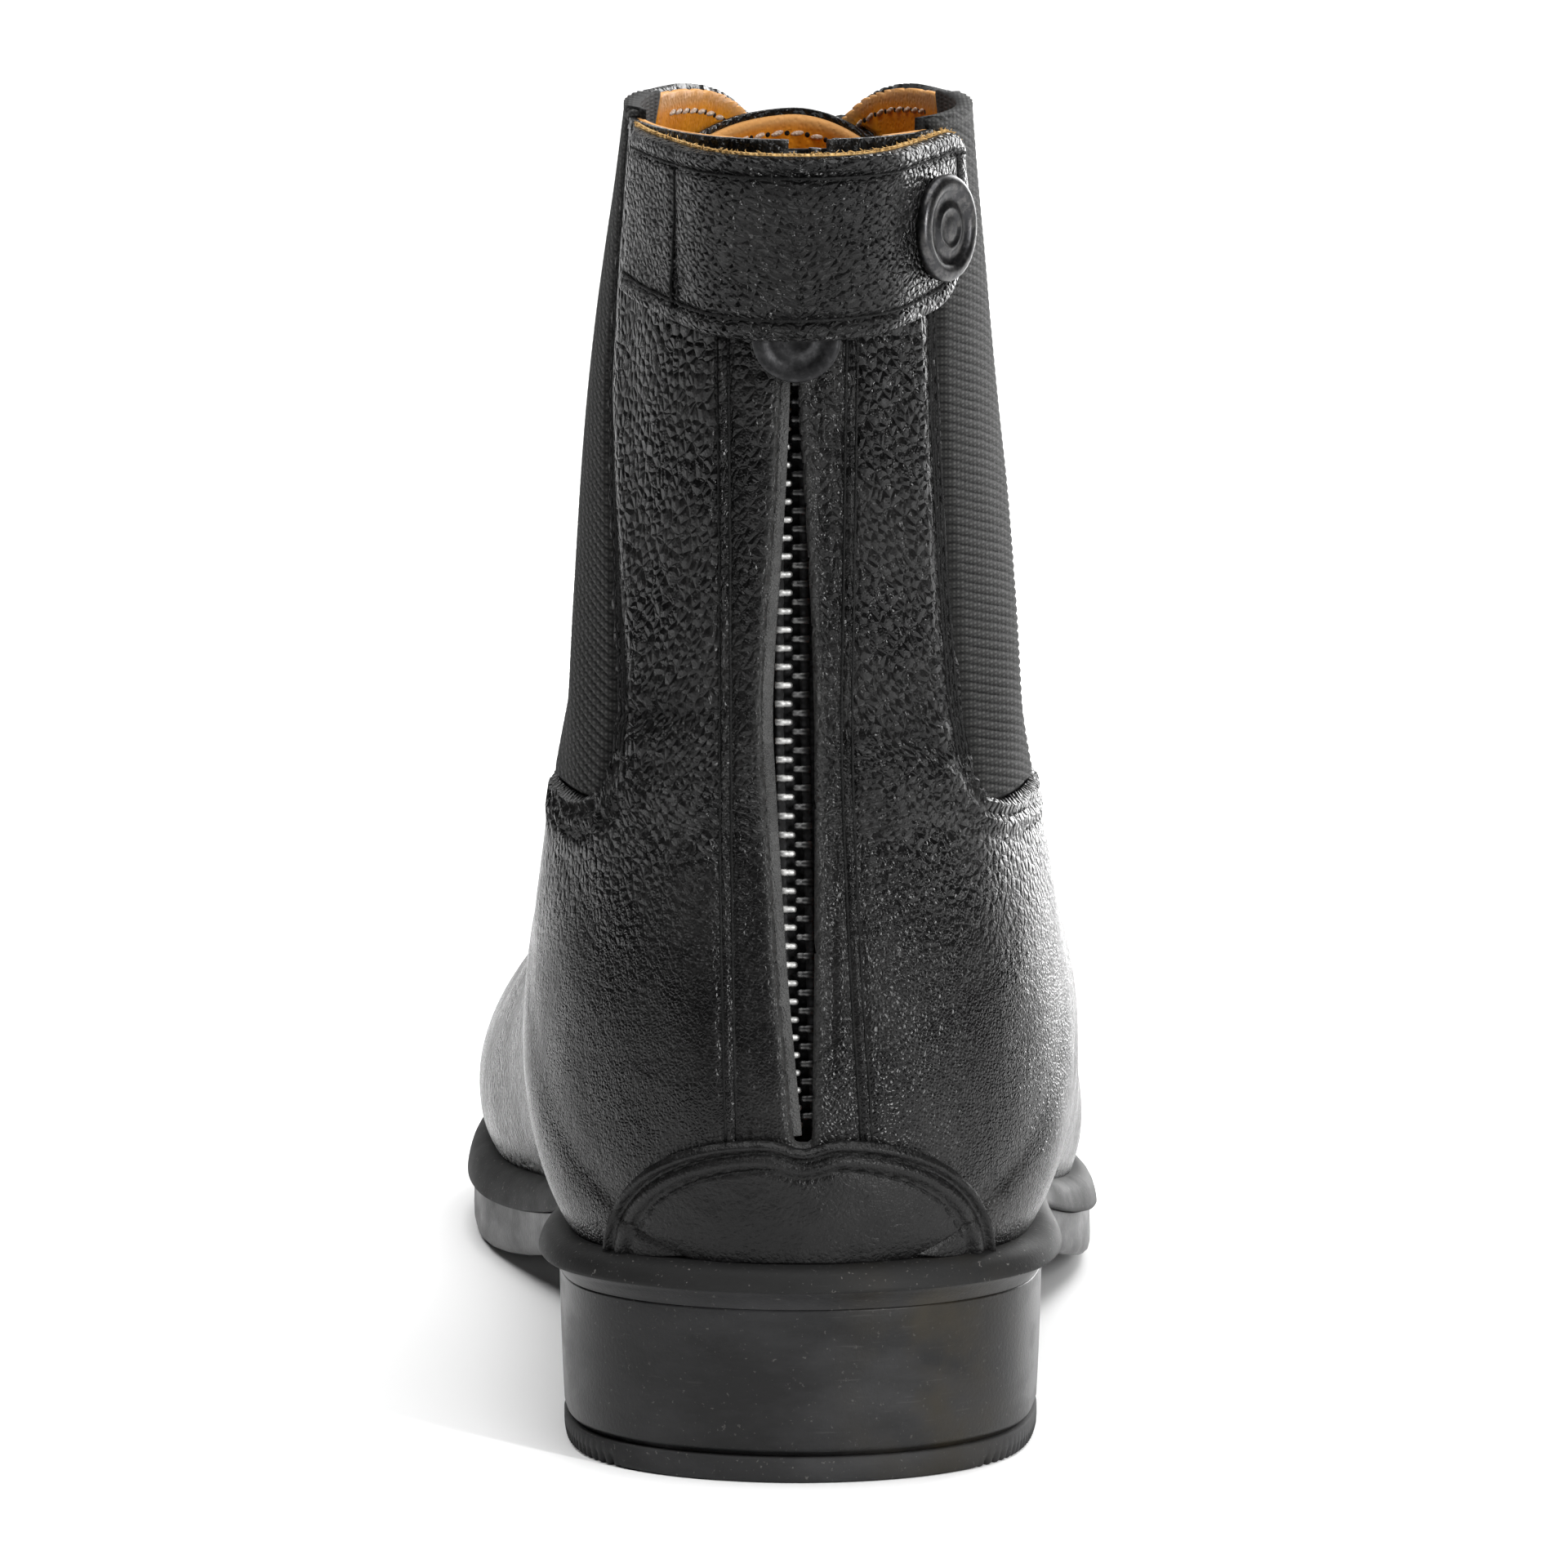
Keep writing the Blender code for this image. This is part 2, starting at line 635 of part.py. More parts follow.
def add_snap():
    turn = rear_turn(SNAP_X, SNAP_Z)
    point = on_skin(SNAP_Z, turn, 0.0)
    out = strap_inner(point) + STRAP_THICKNESS + GAP
    normal = skin_normal(row_at(SNAP_Z, turn), turn % 1.0)
    r = SNAP_RADIUS
    profile = ((0.0, 2.0), (0.55 * r, 2.0), (0.8 * r, 2.3), (0.95 * r, 1.9), (r, 1.2), (0.97 * r, 0.0),
               (0.0, 0.0))
    add_turned("snap_cap", profile, facing(point + out * normal, normal), 24, "steel")


def eyelet_places():
    """Point, normal, height and side of each eyelet, low to high."""
    found = []
    for z in np.linspace(EYELET_LOW, EYELET_HIGH, EYELET_PAIRS):
        for side in (-1, 1):
            turn = front_turn(throat_middle(z) + side * EYELET_OUT, z)
            row = row_at(z, turn)
            found.append((skin(row, turn), skin_normal(row, turn), z, turn, side))
    return found


def add_eyelets(upper):
    """Flanged rings set in holes through the facings."""
    barrel = EYELET_HOLE
    bore = EYELET_HOLE - 0.6
    flange = EYELET_FLANGE
    profile = ((bore, EYELET_TOP), (flange - 0.4, EYELET_TOP), (flange, EYELET_TOP - 0.3),
               (flange, EYELET_SEAT), (barrel, EYELET_SEAT), (barrel, -WALL), (bore, -WALL))
    hole = (EYELET_HOLE + 1.3 * GAP) * MM
    holes = bmesh.new()
    counts = {-1: 0, 1: 0}
    names = {-1: "eyelet_medial_", 1: "eyelet_lateral_"}
    for point, normal, z, turn, side in eyelet_places():
        counts[side] += 1
        matrix = facing(point, normal)
        add_turned(names[side] + str(counts[side]), profile, matrix, EYELET_SIDES, "steel")
        bmesh.ops.create_cone(holes, cap_ends=True, segments=EYELET_SIDES, radius1=hole, radius2=hole,
                              depth=2 * THROUGH * MM, matrix=matrix)
    mesh = bpy.data.meshes.new("eyelet_hole_cutters")
    holes.to_mesh(mesh)
    holes.free()
    add_boolean(upper, add_object("eyelet_hole_cutters", mesh, None), "DIFFERENCE")


def lace_run(name, first_side):
    """One half of the lace: a zigzag over the facings from the lowest eyelet to the top one, as a mesh."""
    places = {(z, side): turn for point, normal, z, turn, side in eyelet_places()}
    heights = sorted({z for z, side in places})
    stops = [(z, places[(z, first_side * (-1) ** i)]) for i, z in enumerate(heights)]
    path = []
    for (z0, turn0), (z1, turn1) in zip(stops, stops[1:]):
        for share in (0.0, 0.25, 0.5, 0.75):
            path.append(on_skin(z0 + (z1 - z0) * share, turn0 + (turn1 - turn0) * share, LACE_OUT))
    path.append(on_skin(*stops[-1], LACE_OUT))
    curve = bpy.data.curves.new(name, "CURVE")
    curve.dimensions = "3D"
    curve.bevel_depth = LACE_RADIUS * MM
    curve.bevel_resolution = 1
    curve.use_fill_caps = True
    spline = curve.splines.new("POLY")
    spline.points.add(len(path) - 1)
    for knot, point in zip(spline.points, place(path)):
        knot.co = (*point, 1.0)
    cord = bpy.data.objects.new(name, curve)
    CUTTERS.objects.link(cord)
    mesh = bpy.data.meshes.new_from_object(cord.evaluated_get(bpy.context.evaluated_depsgraph_get()))
    bpy.data.objects.remove(cord)
    work = bmesh.new()
    work.from_mesh(mesh)
    bmesh.ops.remove_doubles(work, verts=work.verts, dist=1e-6)
    bmesh.ops.recalc_face_normals(work, faces=work.faces)
    work.to_mesh(mesh)
    work.free()
    return mesh


def add_lace():
    """Two zigzags joined where they cross."""
    lace = add_object("lace", lace_run("lace", -1), "fabric")
    add_boolean(lace, add_object("lace_other_run", lace_run("lace_other_run", 1), None), "UNION")


def feather_stations(rows):
    """Plan of the feather line at real row numbers: middle, half width, y and seat height."""
    found = []
    for name, mirror in (("base_x", 1), ("feather", -1), ("base_y", 1), ("base_z", 1)):
        scale = COLUMN_SCALES[COLUMNS.index(name)]
        values = column(SECTIONS, COLUMNS, name)[:HEEL_TIP_ROW + 1] * scale
        values = np.concatenate([[mirror * values[1]], values, [mirror * values[-2]]])
        found.append(catmull(values, np.asarray(rows) + 1))
    return found


def sole_stack(name, finish, rows, levels):
    """Solid from loops round the foot, bottom to top. rows are the stations from the front to the heel tip.
    Each level gives how far it stands out from the feather line, and its height, at the stations."""
    middle, half, y, seat = feather_stations(rows)
    count = len(y)
    back = slice(count - 2, None, -1)
    station_y = np.concatenate([y, y[back]])
    plan = np.stack([np.concatenate([middle - half, (middle + half)[back]]), station_y], axis=1)
    tangent = np.gradient(plan, axis=0)
    if half[0] < 1e-6:
        tangent[0] = tangent[-1] = (-1.0, 0.0)
    outward = np.stack([tangent[:, 1], -tangent[:, 0]], axis=1)
    outward /= np.linalg.norm(outward, axis=1, keepdims=True)
    station_seat = np.concatenate([seat, seat[back]])
    loops = []
    for out, height in levels:
        edge = plan + outward * (np.zeros_like(station_y) + out(station_y))[:, None]
        loops.append(np.column_stack([edge, np.zeros_like(station_y) + height(station_y, station_seat)]))
    around = 2 * count - 1
    faces = []
    for k in range(len(loops) - 1):
        for j in range(around):
            after = (j + 1) % around
            faces.append((k * around + j, k * around + after, (k + 1) * around + after, (k + 1) * around + j))
    for first in (0, (len(loops) - 1) * around):
        for i in range(count - 1):
            strip = (i, i + 1, around - 2 - i, around - 1 - i)
            faces.append(tuple(first + v for v in dict.fromkeys(strip)))
    return add_object(name, mesh_from(name, np.concatenate(loops), faces), finish)


def welt_top(y, seat):
    return seat - GAP


def welt_bottom(y, seat):
    return seat - GAP - sole_value("welt", y)


def add_sole():
    """Welt, outsole, heel block, top lift and insole, all from the feather line."""
    whole = np.arange(0, HEEL_TIP_ROW + 0.25, 0.5)
    base_y = column(SECTIONS, COLUMNS, "base_y")[:HEEL_TIP_ROW + 1] * LENGTHS
    breast_row = np.interp(-HEEL_LENGTH, -base_y, np.arange(HEEL_TIP_ROW + 1))
    heel = np.linspace(breast_row, HEEL_TIP_ROW, 12)

    def stand(name, less=0.0):
        return lambda y: sole_value(name, y) - less

    def between(low, high, share):
        return lambda y, seat: low(y, seat) + (high(y, seat) - low(y, seat)) * share

    def sole_top(y, seat):
        return welt_bottom(y, seat) - GAP

    def sole_bottom(y, seat):
        return sole_value("tread_z", y)

    def flat(z):
        return lambda y, seat: z

    def heel_top(y, seat):
        return sole_value("tread_z", y) - GAP

    welt_levels = (
        (stand("welt_out", 0.9), welt_bottom),
        (stand("welt_out"), between(welt_bottom, welt_top, 0.3)),
        (stand("welt_out"), between(welt_bottom, welt_top, 0.65)),
        (stand("welt_out", 1.0), welt_top),
    )
    sole_stack("welt", "rubber", whole, welt_levels)
    sole_levels = (
        (stand("sole_out", 0.9), sole_bottom),
        (stand("sole_out"), between(sole_bottom, sole_top, 0.2)),
        (stand("sole_out", 0.2), sole_top),
    )
    sole_stack("outsole", "rubber", whole, sole_levels)
    heel_levels = (
        (lambda y: HEEL_OUT - 0.9, flat(TOP_LIFT + GAP)),
        (lambda y: HEEL_OUT - 0.5, flat(TOP_LIFT + GAP + 0.6)),
        (lambda y: HEEL_OUT - 0.2, heel_top),
    )
    sole_stack("heel_block", "rubber", heel, heel_levels)
    lift_levels = (
        (lambda y: HEEL_OUT - 1.3, flat(0.0)),
        (lambda y: HEEL_OUT - 0.6, flat(0.7)),
        (lambda y: HEEL_OUT - 0.5, flat(TOP_LIFT)),
    )
    sole_stack("top_lift", "rubber", heel, lift_levels)
    insole_levels = (
        (lambda y: -INSOLE_INSET, lambda y, seat: seat),
        (lambda y: -INSOLE_INSET, lambda y, seat: seat + INSOLE),
    )
    sole_stack("insole", "lining", whole, insole_levels)


add_sole()
UPPER = add_upper()
open_upper(UPPER)
add_gussets()
add_tongue()
add_counter()
add_strap()
add_snap()
add_zip()
add_slider()
add_pull()
add_eyelets(UPPER)
add_lace()
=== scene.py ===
"""Looks of the right lace-up ankle boot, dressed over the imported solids.

Shapes are worked out in millimetres on the same skin as the solids, with y counted from the rearmost point of
the heel, and placed in metres in the frame: +X is the outer side, +Y runs to the toe, +Z is up.
"""
import math

import bmesh
import bpy
import numpy as np
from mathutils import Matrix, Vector


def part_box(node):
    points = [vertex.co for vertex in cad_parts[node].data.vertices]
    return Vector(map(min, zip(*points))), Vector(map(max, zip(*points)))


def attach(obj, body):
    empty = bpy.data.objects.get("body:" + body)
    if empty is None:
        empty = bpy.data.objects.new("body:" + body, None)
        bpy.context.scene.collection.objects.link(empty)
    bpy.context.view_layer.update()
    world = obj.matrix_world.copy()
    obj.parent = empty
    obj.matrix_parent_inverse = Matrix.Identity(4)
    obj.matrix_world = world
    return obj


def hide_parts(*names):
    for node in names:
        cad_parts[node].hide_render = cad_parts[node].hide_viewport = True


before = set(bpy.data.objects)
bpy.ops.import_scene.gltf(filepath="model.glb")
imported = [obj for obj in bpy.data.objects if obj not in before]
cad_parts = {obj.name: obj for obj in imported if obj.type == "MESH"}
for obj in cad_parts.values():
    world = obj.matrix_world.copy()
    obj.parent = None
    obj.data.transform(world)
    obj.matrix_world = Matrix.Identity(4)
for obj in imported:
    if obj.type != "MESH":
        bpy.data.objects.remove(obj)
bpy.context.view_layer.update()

MM = 0.001
HEEL_CENTRE = 34.0
FAR = 1e3

# Sections of the last, from the toe tip over the instep to the collar. Each runs from its base, on the
# feather line or up the back, to its dorsal point. feather is the half width at the base, egg widens the
# lower half.
COLUMNS = ("base_y", "base_z", "dorsal_y", "dorsal_z", "feather", "base_x", "dorsal_x", "half", "egg")
SECTIONS = (
    (279.5, 21.5, 279.5, 21.5, 0.0, -7.5, -7.5, 0.0, 0.00),
    (278.3, 21.3, 281.0, 26.5, 8.2, -7.5, -7.5, 8.8, 0.10),
    (276.0, 20.7, 281.4, 32.0, 14.0, -7.5, -7.4, 14.9, 0.15),
    (268.0, 19.3, 279.6, 40.0, 24.3, -7.2, -7.3, 25.4, 0.20),
    (255.0, 17.2, 273.0, 47.0, 32.0, -6.7, -7.2, 33.0, 0.25),
    (240.0, 15.1, 261.0, 52.6, 37.2, -6.2, -7.0, 38.2, 0.28),
    (222.0, 13.4, 243.0, 58.0, 41.2, -5.4, -6.6, 42.2, 0.30),
    (202.0, 12.6, 222.0, 63.3, 43.0, -3.9, -6.0, 43.8, 0.30),
    (182.0, 13.0, 201.0, 69.5, 42.9, -1.7, -5.0, 43.8, 0.30),
    (162.0, 14.5, 183.0, 77.5, 40.4, 0.4, -4.0, 42.0, 0.30),
    (140.0, 17.6, 168.0, 87.0, 36.4, 1.6, -3.0, 40.0, 0.30),
    (118.0, 21.8, 154.0, 98.0, 32.6, 2.2, -2.2, 38.9, 0.30),
    (92.0, 26.6, 143.5, 108.5, 30.8, 1.8, -1.6, 38.4, 0.30),
    (66.0, 29.0, 136.0, 118.0, 31.2, 0.8, -1.2, 37.6, 0.32),
    (42.0, 29.6, 131.0, 126.0, 32.4, 0.2, -1.0, 36.6, 0.40),
    (22.0, 29.9, 127.5, 132.5, 28.7, 0.0, -0.9, 35.8, 0.45),
    (9.5, 30.2, 125.0, 138.0, 17.0, 0.0, -0.8, 35.0, 0.46),
    (5.0, 30.3, 123.0, 143.0, 0.0, 0.0, -0.9, 34.4, 0.44),
    (2.5, 45.0, 121.0, 150.0, 0.0, -0.3, -1.2, 32.8, 0.40),
    (3.0, 60.0, 119.5, 156.0, 0.0, -0.3, -0.9, 31.3, 0.30),
    (6.5, 78.0, 118.2, 162.0, 0.0, -0.3, -0.9, 31.0, 0.20),
    (10.5, 96.0, 117.2, 167.0, 0.0, -0.4, -1.0, 30.4, 0.12),
    (13.0, 115.0, 116.3, 172.0, 0.0, -0.6, -1.2, 29.3, 0.10),
    (14.0, 135.0, 115.5, 177.0, 0.0, -0.7, -1.0, 28.0, 0.10),
    (14.0, 152.0, 115.0, 181.0, 0.0, -0.5, -0.7, 26.8, 0.10),
    (13.5, 168.0, 114.6, 184.0, 0.0, -0.3, -0.4, 25.6, 0.10),
    (13.0, 185.0, 114.3, 187.0, 0.0, -0.1, -0.1, 24.5, 0.10),
)
HEEL_TIP_ROW = 17
TOP_ROW = len(SECTIONS) - 1
LOWEST_LEG_ROW = 9

# Sole heights along the foot, and how far outsole and welt stand out from the feather line
SOLE_COLUMNS = ("y", "welt", "tread_z", "sole_out", "welt_out")
SOLE = (
    (5.0, 2.7, 24.5, 1.2, 4.4),
    (36.0, 2.7, 24.2, 1.2, 4.6),
    (66.0, 2.8, 23.2, 1.2, 4.4),
    (92.0, 3.0, 18.6, 1.8, 3.8),
    (118.0, 3.3, 12.2, 2.6, 3.8),
    (140.0, 3.7, 7.0, 3.2, 4.2),
    (155.0, 3.8, 4.2, 3.5, 4.5),
    (168.0, 3.8, 2.2, 3.6, 4.6),
    (180.0, 3.8, 0.9, 3.6, 4.6),
    (191.0, 3.8, 0.0, 3.6, 4.6),
    (224.0, 3.8, 0.0, 3.6, 4.6),
    (240.0, 3.8, 1.6, 3.6, 4.6),
    (260.0, 3.8, 5.4, 3.4, 4.6),
    (279.5, 3.8, 10.2, 3.4, 4.6),
)
GAP = 0.3
TOP_LIFT = 3.6
HEEL_OUT = 1.7
HEEL_LENGTH = 64.0

# Zip slot: the two flap edges at each height
ZIP_COLUMNS = ("z", "left", "right")
ZIP = (
    (46.5, -0.6, 1.8),
    (70.0, -2.9, 2.1),
    (92.0, -4.4, 2.2),
    (105.0, -5.3, 2.2),
    (116.0, -4.8, 1.9),
    (135.0, -3.3, 0.9),
    (150.0, -2.6, -0.3),
    (170.0, -2.4, 1.6),
    (187.0, -1.4, 4.4),
)

# Edges of the zip panel, where the quarters lap over it
PANEL_COLUMNS = ("z", "left", "right")
PANEL = (
    (30.0, -9.0, 10.0),
    (48.0, -9.4, 9.4),
    (70.0, -9.9, 7.8),
    (100.0, -10.3, 6.6),
    (150.0, -10.7, 7.4),
    (187.0, -10.9, 7.8),
)


def column(table, names, name):
    return np.array([row[names.index(name)] for row in table], dtype=float)


def sole_value(name, y):
    return np.interp(y, column(SOLE, SOLE_COLUMNS, "y"), column(SOLE, SOLE_COLUMNS, name))


def catmull(values, at):
    """Smooth curve through values spaced one apart, read at the real positions at."""
    at = np.asarray(at, dtype=float)
    low = np.clip(np.floor(at).astype(int), 0, len(values) - 2)
    t = at - low
    last = len(values) - 1
    before = values[np.maximum(low - 1, 0)]
    first = values[low]
    second = values[low + 1]
    after = values[np.minimum(low + 2, last)]
    return first + 0.5 * t * (second - before + t * (
        2 * before - 5 * first + 4 * second - after + t * (3 * (first - second) + after - before)))


def girth(angle, egg):
    return np.sin(angle) * (1 + egg * np.cos(angle))


def start_angle(feather, half, egg):
    """Angle at which a section is as wide as the feather line, by halving."""
    low = np.zeros_like(half)
    high = np.full_like(half, 0.45 * math.pi)
    share = np.clip(feather, 0, None) / np.maximum(half, 1e-6)
    for _ in range(30):
        middle = (low + high) / 2
        under = girth(middle, egg) < share
        low = np.where(under, middle, low)
        high = np.where(under, high, middle)
    return np.where(share > 1e-4, low, 0.0)


DENSE_ROWS = np.linspace(0, TOP_ROW, TOP_ROW * 50 + 1)
DENSE = {name: catmull(column(SECTIONS, COLUMNS, name), DENSE_ROWS) for name in COLUMNS}
DENSE["start"] = start_angle(DENSE["feather"], DENSE["half"], DENSE["egg"])
DENSE["lowest"] = (1 - np.cos(DENSE["start"])) / 2


def skin(row, turn):
    """Point of the outer face of the upper: turn runs from 0 at the back over the inner side round to 1."""
    row, turn = np.broadcast_arrays(np.asarray(row, float), np.asarray(turn, float))
    s = {name: np.interp(row, DENSE_ROWS, values) for name, values in DENSE.items()}
    angle = 2 * math.pi * turn
    rise = ((1 - np.cos(angle)) / 2 - s["lowest"]) / (1 - s["lowest"])
    x = s["base_x"] + (s["dorsal_x"] - s["base_x"]) * rise - s["half"] * girth(angle, s["egg"])
    y = s["base_y"] + (s["dorsal_y"] - s["base_y"]) * rise
    z = s["base_z"] + (s["dorsal_z"] - s["base_z"]) * rise
    return np.stack([x, y, z], axis=-1)


def feather_turn(row):
    """Turn at which a section leaves the feather line, which is 0 where it closes behind the heel."""
    return np.interp(row, DENSE_ROWS, DENSE["start"]) / (2 * math.pi)


def unit(vectors):
    return vectors / np.maximum(np.linalg.norm(vectors, axis=-1, keepdims=True), 1e-12)


def skin_normal(row, turn):
    """Outward unit normal of the skin, from two short steps along it."""
    near = 0.02
    row = np.clip(np.asarray(row, float), near, TOP_ROW - near)
    along = skin(row + near, turn) - skin(row - near, turn)
    around = skin(row, np.asarray(turn) + near / 10) - skin(row, np.asarray(turn) - near / 10)
    return unit(np.cross(along, around))


# Rows of the leg at each height and turn, kept as a table so that a height can be looked up quickly
LEG_TURNS = np.linspace(-0.5, 1.0, 601)
LEG_HEIGHTS = np.arange(12.0, 188.0, 0.5)
LEG_ROWS = np.linspace(LOWEST_LEG_ROW, TOP_ROW, 341)
LEG = skin(LEG_ROWS[:, None], LEG_TURNS[None, :])[:, :, 2]
ROW_OF = np.stack([np.interp(LEG_HEIGHTS, LEG[:, j], LEG_ROWS) for j in range(len(LEG_TURNS))], axis=1)


def row_at(z, turn):
    """Row at which the column turn reaches the height z."""
    z, turn = np.broadcast_arrays(np.asarray(z, float), np.asarray(turn, float))
    up = np.clip((z - LEG_HEIGHTS[0]) / (LEG_HEIGHTS[1] - LEG_HEIGHTS[0]), 0, len(LEG_HEIGHTS) - 1.001)
    side = np.clip((turn - LEG_TURNS[0]) / (LEG_TURNS[1] - LEG_TURNS[0]), 0, len(LEG_TURNS) - 1.001)
    i = up.astype(int)
    j = side.astype(int)
    u = up - i
    v = side - j
    low = ROW_OF[i, j] * (1 - v) + ROW_OF[i, j + 1] * v
    high = ROW_OF[i + 1, j] * (1 - v) + ROW_OF[i + 1, j + 1] * v
    return low * (1 - u) + high * u


def on_skin(z, turn, out=0.0):
    """Points at heights on the leg, moved out along the normal, and straight on above the collar."""
    z, turn = np.broadcast_arrays(np.asarray(z, float), np.asarray(turn, float))
    row = row_at(z, turn)
    point = skin(row, turn)
    above = np.maximum(z - point[..., 2], 0.0)
    point = point + np.asarray(out, float)[..., None] * skin_normal(row, turn)
    point[..., 2] += np.where(above > 0.3, above, 0.0)
    return point


def normal_at(z, turn):
    return skin_normal(row_at(z, turn), turn)


def turn_where(axis, value, z, first, last, rising):
    """Column between two turns where x (axis 0) or y (axis 1) has a value at the heights z, by halving."""
    value, z = np.broadcast_arrays(np.asarray(value, float), np.asarray(z, float))
    low = np.full(value.shape, first)
    high = np.full(value.shape, last)
    for _ in range(22):
        middle = (low + high) / 2
        found = skin(row_at(z, middle), middle)[..., axis]
        under = (found < value) == rising
        low = np.where(under, middle, low)
        high = np.where(under, high, middle)
    return (low + high) / 2


def rear_turn(x, z):
    return turn_where(0, x, z, -0.2, 0.2, False)


def front_turn(x, z):
    return turn_where(0, x, z, 0.3, 0.7, True)


def side_turn(side, y, z):
    if side == "medial":
        return turn_where(1, y, z, 0.03, 0.47, True)
    return turn_where(1, y, z, 0.53, 0.97, False)


def smooth_table(table, names, name, rounding=4.0):
    """Column of a table over height, read at z, with its corners rounded over a few millimetres."""
    heights = column(table, names, "z")
    values = column(table, names, name)
    offsets = np.linspace(-rounding, rounding, 9)

    def read(z):
        z = np.asarray(z, float)
        return sum(np.interp(z + d, heights, values) for d in offsets) / len(offsets)

    return read


slot_left = smooth_table(ZIP, ZIP_COLUMNS, "left")
slot_right = smooth_table(ZIP, ZIP_COLUMNS, "right")
panel_left = smooth_table(PANEL, PANEL_COLUMNS, "left", 10.0)
panel_right = smooth_table(PANEL, PANEL_COLUMNS, "right", 10.0)


def zip_middle(z):
    return (slot_left(z) + slot_right(z)) / 2


def throat_middle(z):
    return skin(row_at(z, 0.5), 0.5)[..., 0]


def place(points):
    """Millimetres from the heel's back to metres from the origin."""
    return (np.asarray(points, float) - np.array([0.0, HEEL_CENTRE, 0.0])) * MM


def hill(value, centre, width):
    """Soft ridge of height 1."""
    return np.exp(-((value - centre) / width) ** 2)


def step(value, start, end):
    """Smooth rise from 0 at start to 1 at end."""
    t = np.clip((value - start) / (end - start), 0, 1)
    return t * t * (3 - 2 * t)


def waves(points, size, seed):
    """Slow uneven swell between about -1 and 1, from a few seeded sine waves over the points."""
    random = np.random.default_rng(seed)
    total = np.zeros(np.asarray(points).shape[:-1])
    for _ in range(7):
        direction = unit(random.normal(size=3)) * 2 * math.pi / (size * random.uniform(0.6, 1.6))
        total += np.sin(points @ direction + random.uniform(0, 2 * math.pi))
    return total / 4.0


# Materials
BLACK = (0.0050, 0.0049, 0.0050)
WORN_COLOUR = (0.070, 0.070, 0.069)
DUST_COLOUR = (0.034, 0.033, 0.032)
ANKLE_HEIGHTS = (0.090, 0.102)
GRAIN_LEANS = (-0.55, 0.45)
GRAIN_CENTRE = (0.02, 0.0, 0.097)


def node(tree, kind, inputs=None, **settings):
    made = tree.nodes.new(kind)
    for name, value in settings.items():
        setattr(made, name, value)
    for key, value in (inputs or {}).items():
        if isinstance(value, bpy.types.NodeSocket):
            tree.links.new(value, made.inputs[key])
        else:
            made.inputs[key].default_value = value
    return made


def math_node(tree, operation, first, second=0.0):
    return node(tree, "ShaderNodeMath", {0: first, 1: second}, operation=operation).outputs[0]


def times(tree, first, second):
    return math_node(tree, "MULTIPLY", first, second)


def plus(tree, first, second):
    return math_node(tree, "ADD", first, second)


def vector_math(tree, operation, inputs):
    return node(tree, "ShaderNodeVectorMath", inputs, operation=operation).outputs[0]


def feed(tree, shader, **sockets):
    """Links values to a shader's inputs by socket name, with underscores for spaces."""
    for key, value in sockets.items():
        tree.links.new(value, shader.inputs[key.replace("_", " ")])


def spread(tree, value, low, high, to_low, to_high):
    """Value moved from one range to another, held at the ends."""
    inputs = {"Value": value, "From Min": low, "From Max": high, "To Min": to_low, "To Max": to_high}
    return node(tree, "ShaderNodeMapRange", inputs).outputs[0]


def blend_colour(tree, share, first, second):
    mixed = node(tree, "ShaderNodeMix", data_type="RGBA")
    for index, value in ((0, share), (6, first), (7, second)):
        if isinstance(value, bpy.types.NodeSocket):
            tree.links.new(value, mixed.inputs[index])
        else:
            mixed.inputs[index].default_value = value if index == 0 else (*value, 1.0)
    return mixed.outputs[2]


def object_position(tree, stretch=(1.0, 1.0, 1.0)):
    """Position on the piece in metres, stretched per axis."""
    at = node(tree, "ShaderNodeTexCoord").outputs["Object"]
    return node(tree, "ShaderNodeMapping", {"Vector": at, "Scale": stretch}).outputs[0]


def noise(tree, position, scale, detail=2.0, roughness=0.5):
    inputs = {"Vector": position, "Scale": scale, "Detail": detail, "Roughness": roughness}
    return node(tree, "ShaderNodeTexNoise", inputs).outputs["Fac"]


def cells(tree, position, scale, feature="DISTANCE_TO_EDGE"):
    inputs = {"Vector": position, "Scale": scale}
    return node(tree, "ShaderNodeTexVoronoi", inputs, feature=feature).outputs["Distance"]


def bump(tree, height, depth, strength=1.0, under=None):
    """Surface bumped by a height between 0 and 1 that stands for depth metres."""
    inputs = {"Height": height, "Distance": depth, "Strength": strength}
    if under is not None:
        inputs["Normal"] = under
    return node(tree, "ShaderNodeBump", inputs).outputs[0]


def new_material(name, **constants):
    """Material with constant shader values by socket name, returned with its tree and shader."""
    material = bpy.data.materials.new(name)
    material.use_nodes = True
    tree = material.node_tree
    shader = tree.nodes["Principled BSDF"]
    for key, value in constants.items():
        shader.inputs[key.replace("_", " ")].default_value = value
    return material, tree, shader


def attribute(tree, name):
    return node(tree, "ShaderNodeAttribute", attribute_name=name).outputs["Fac"]


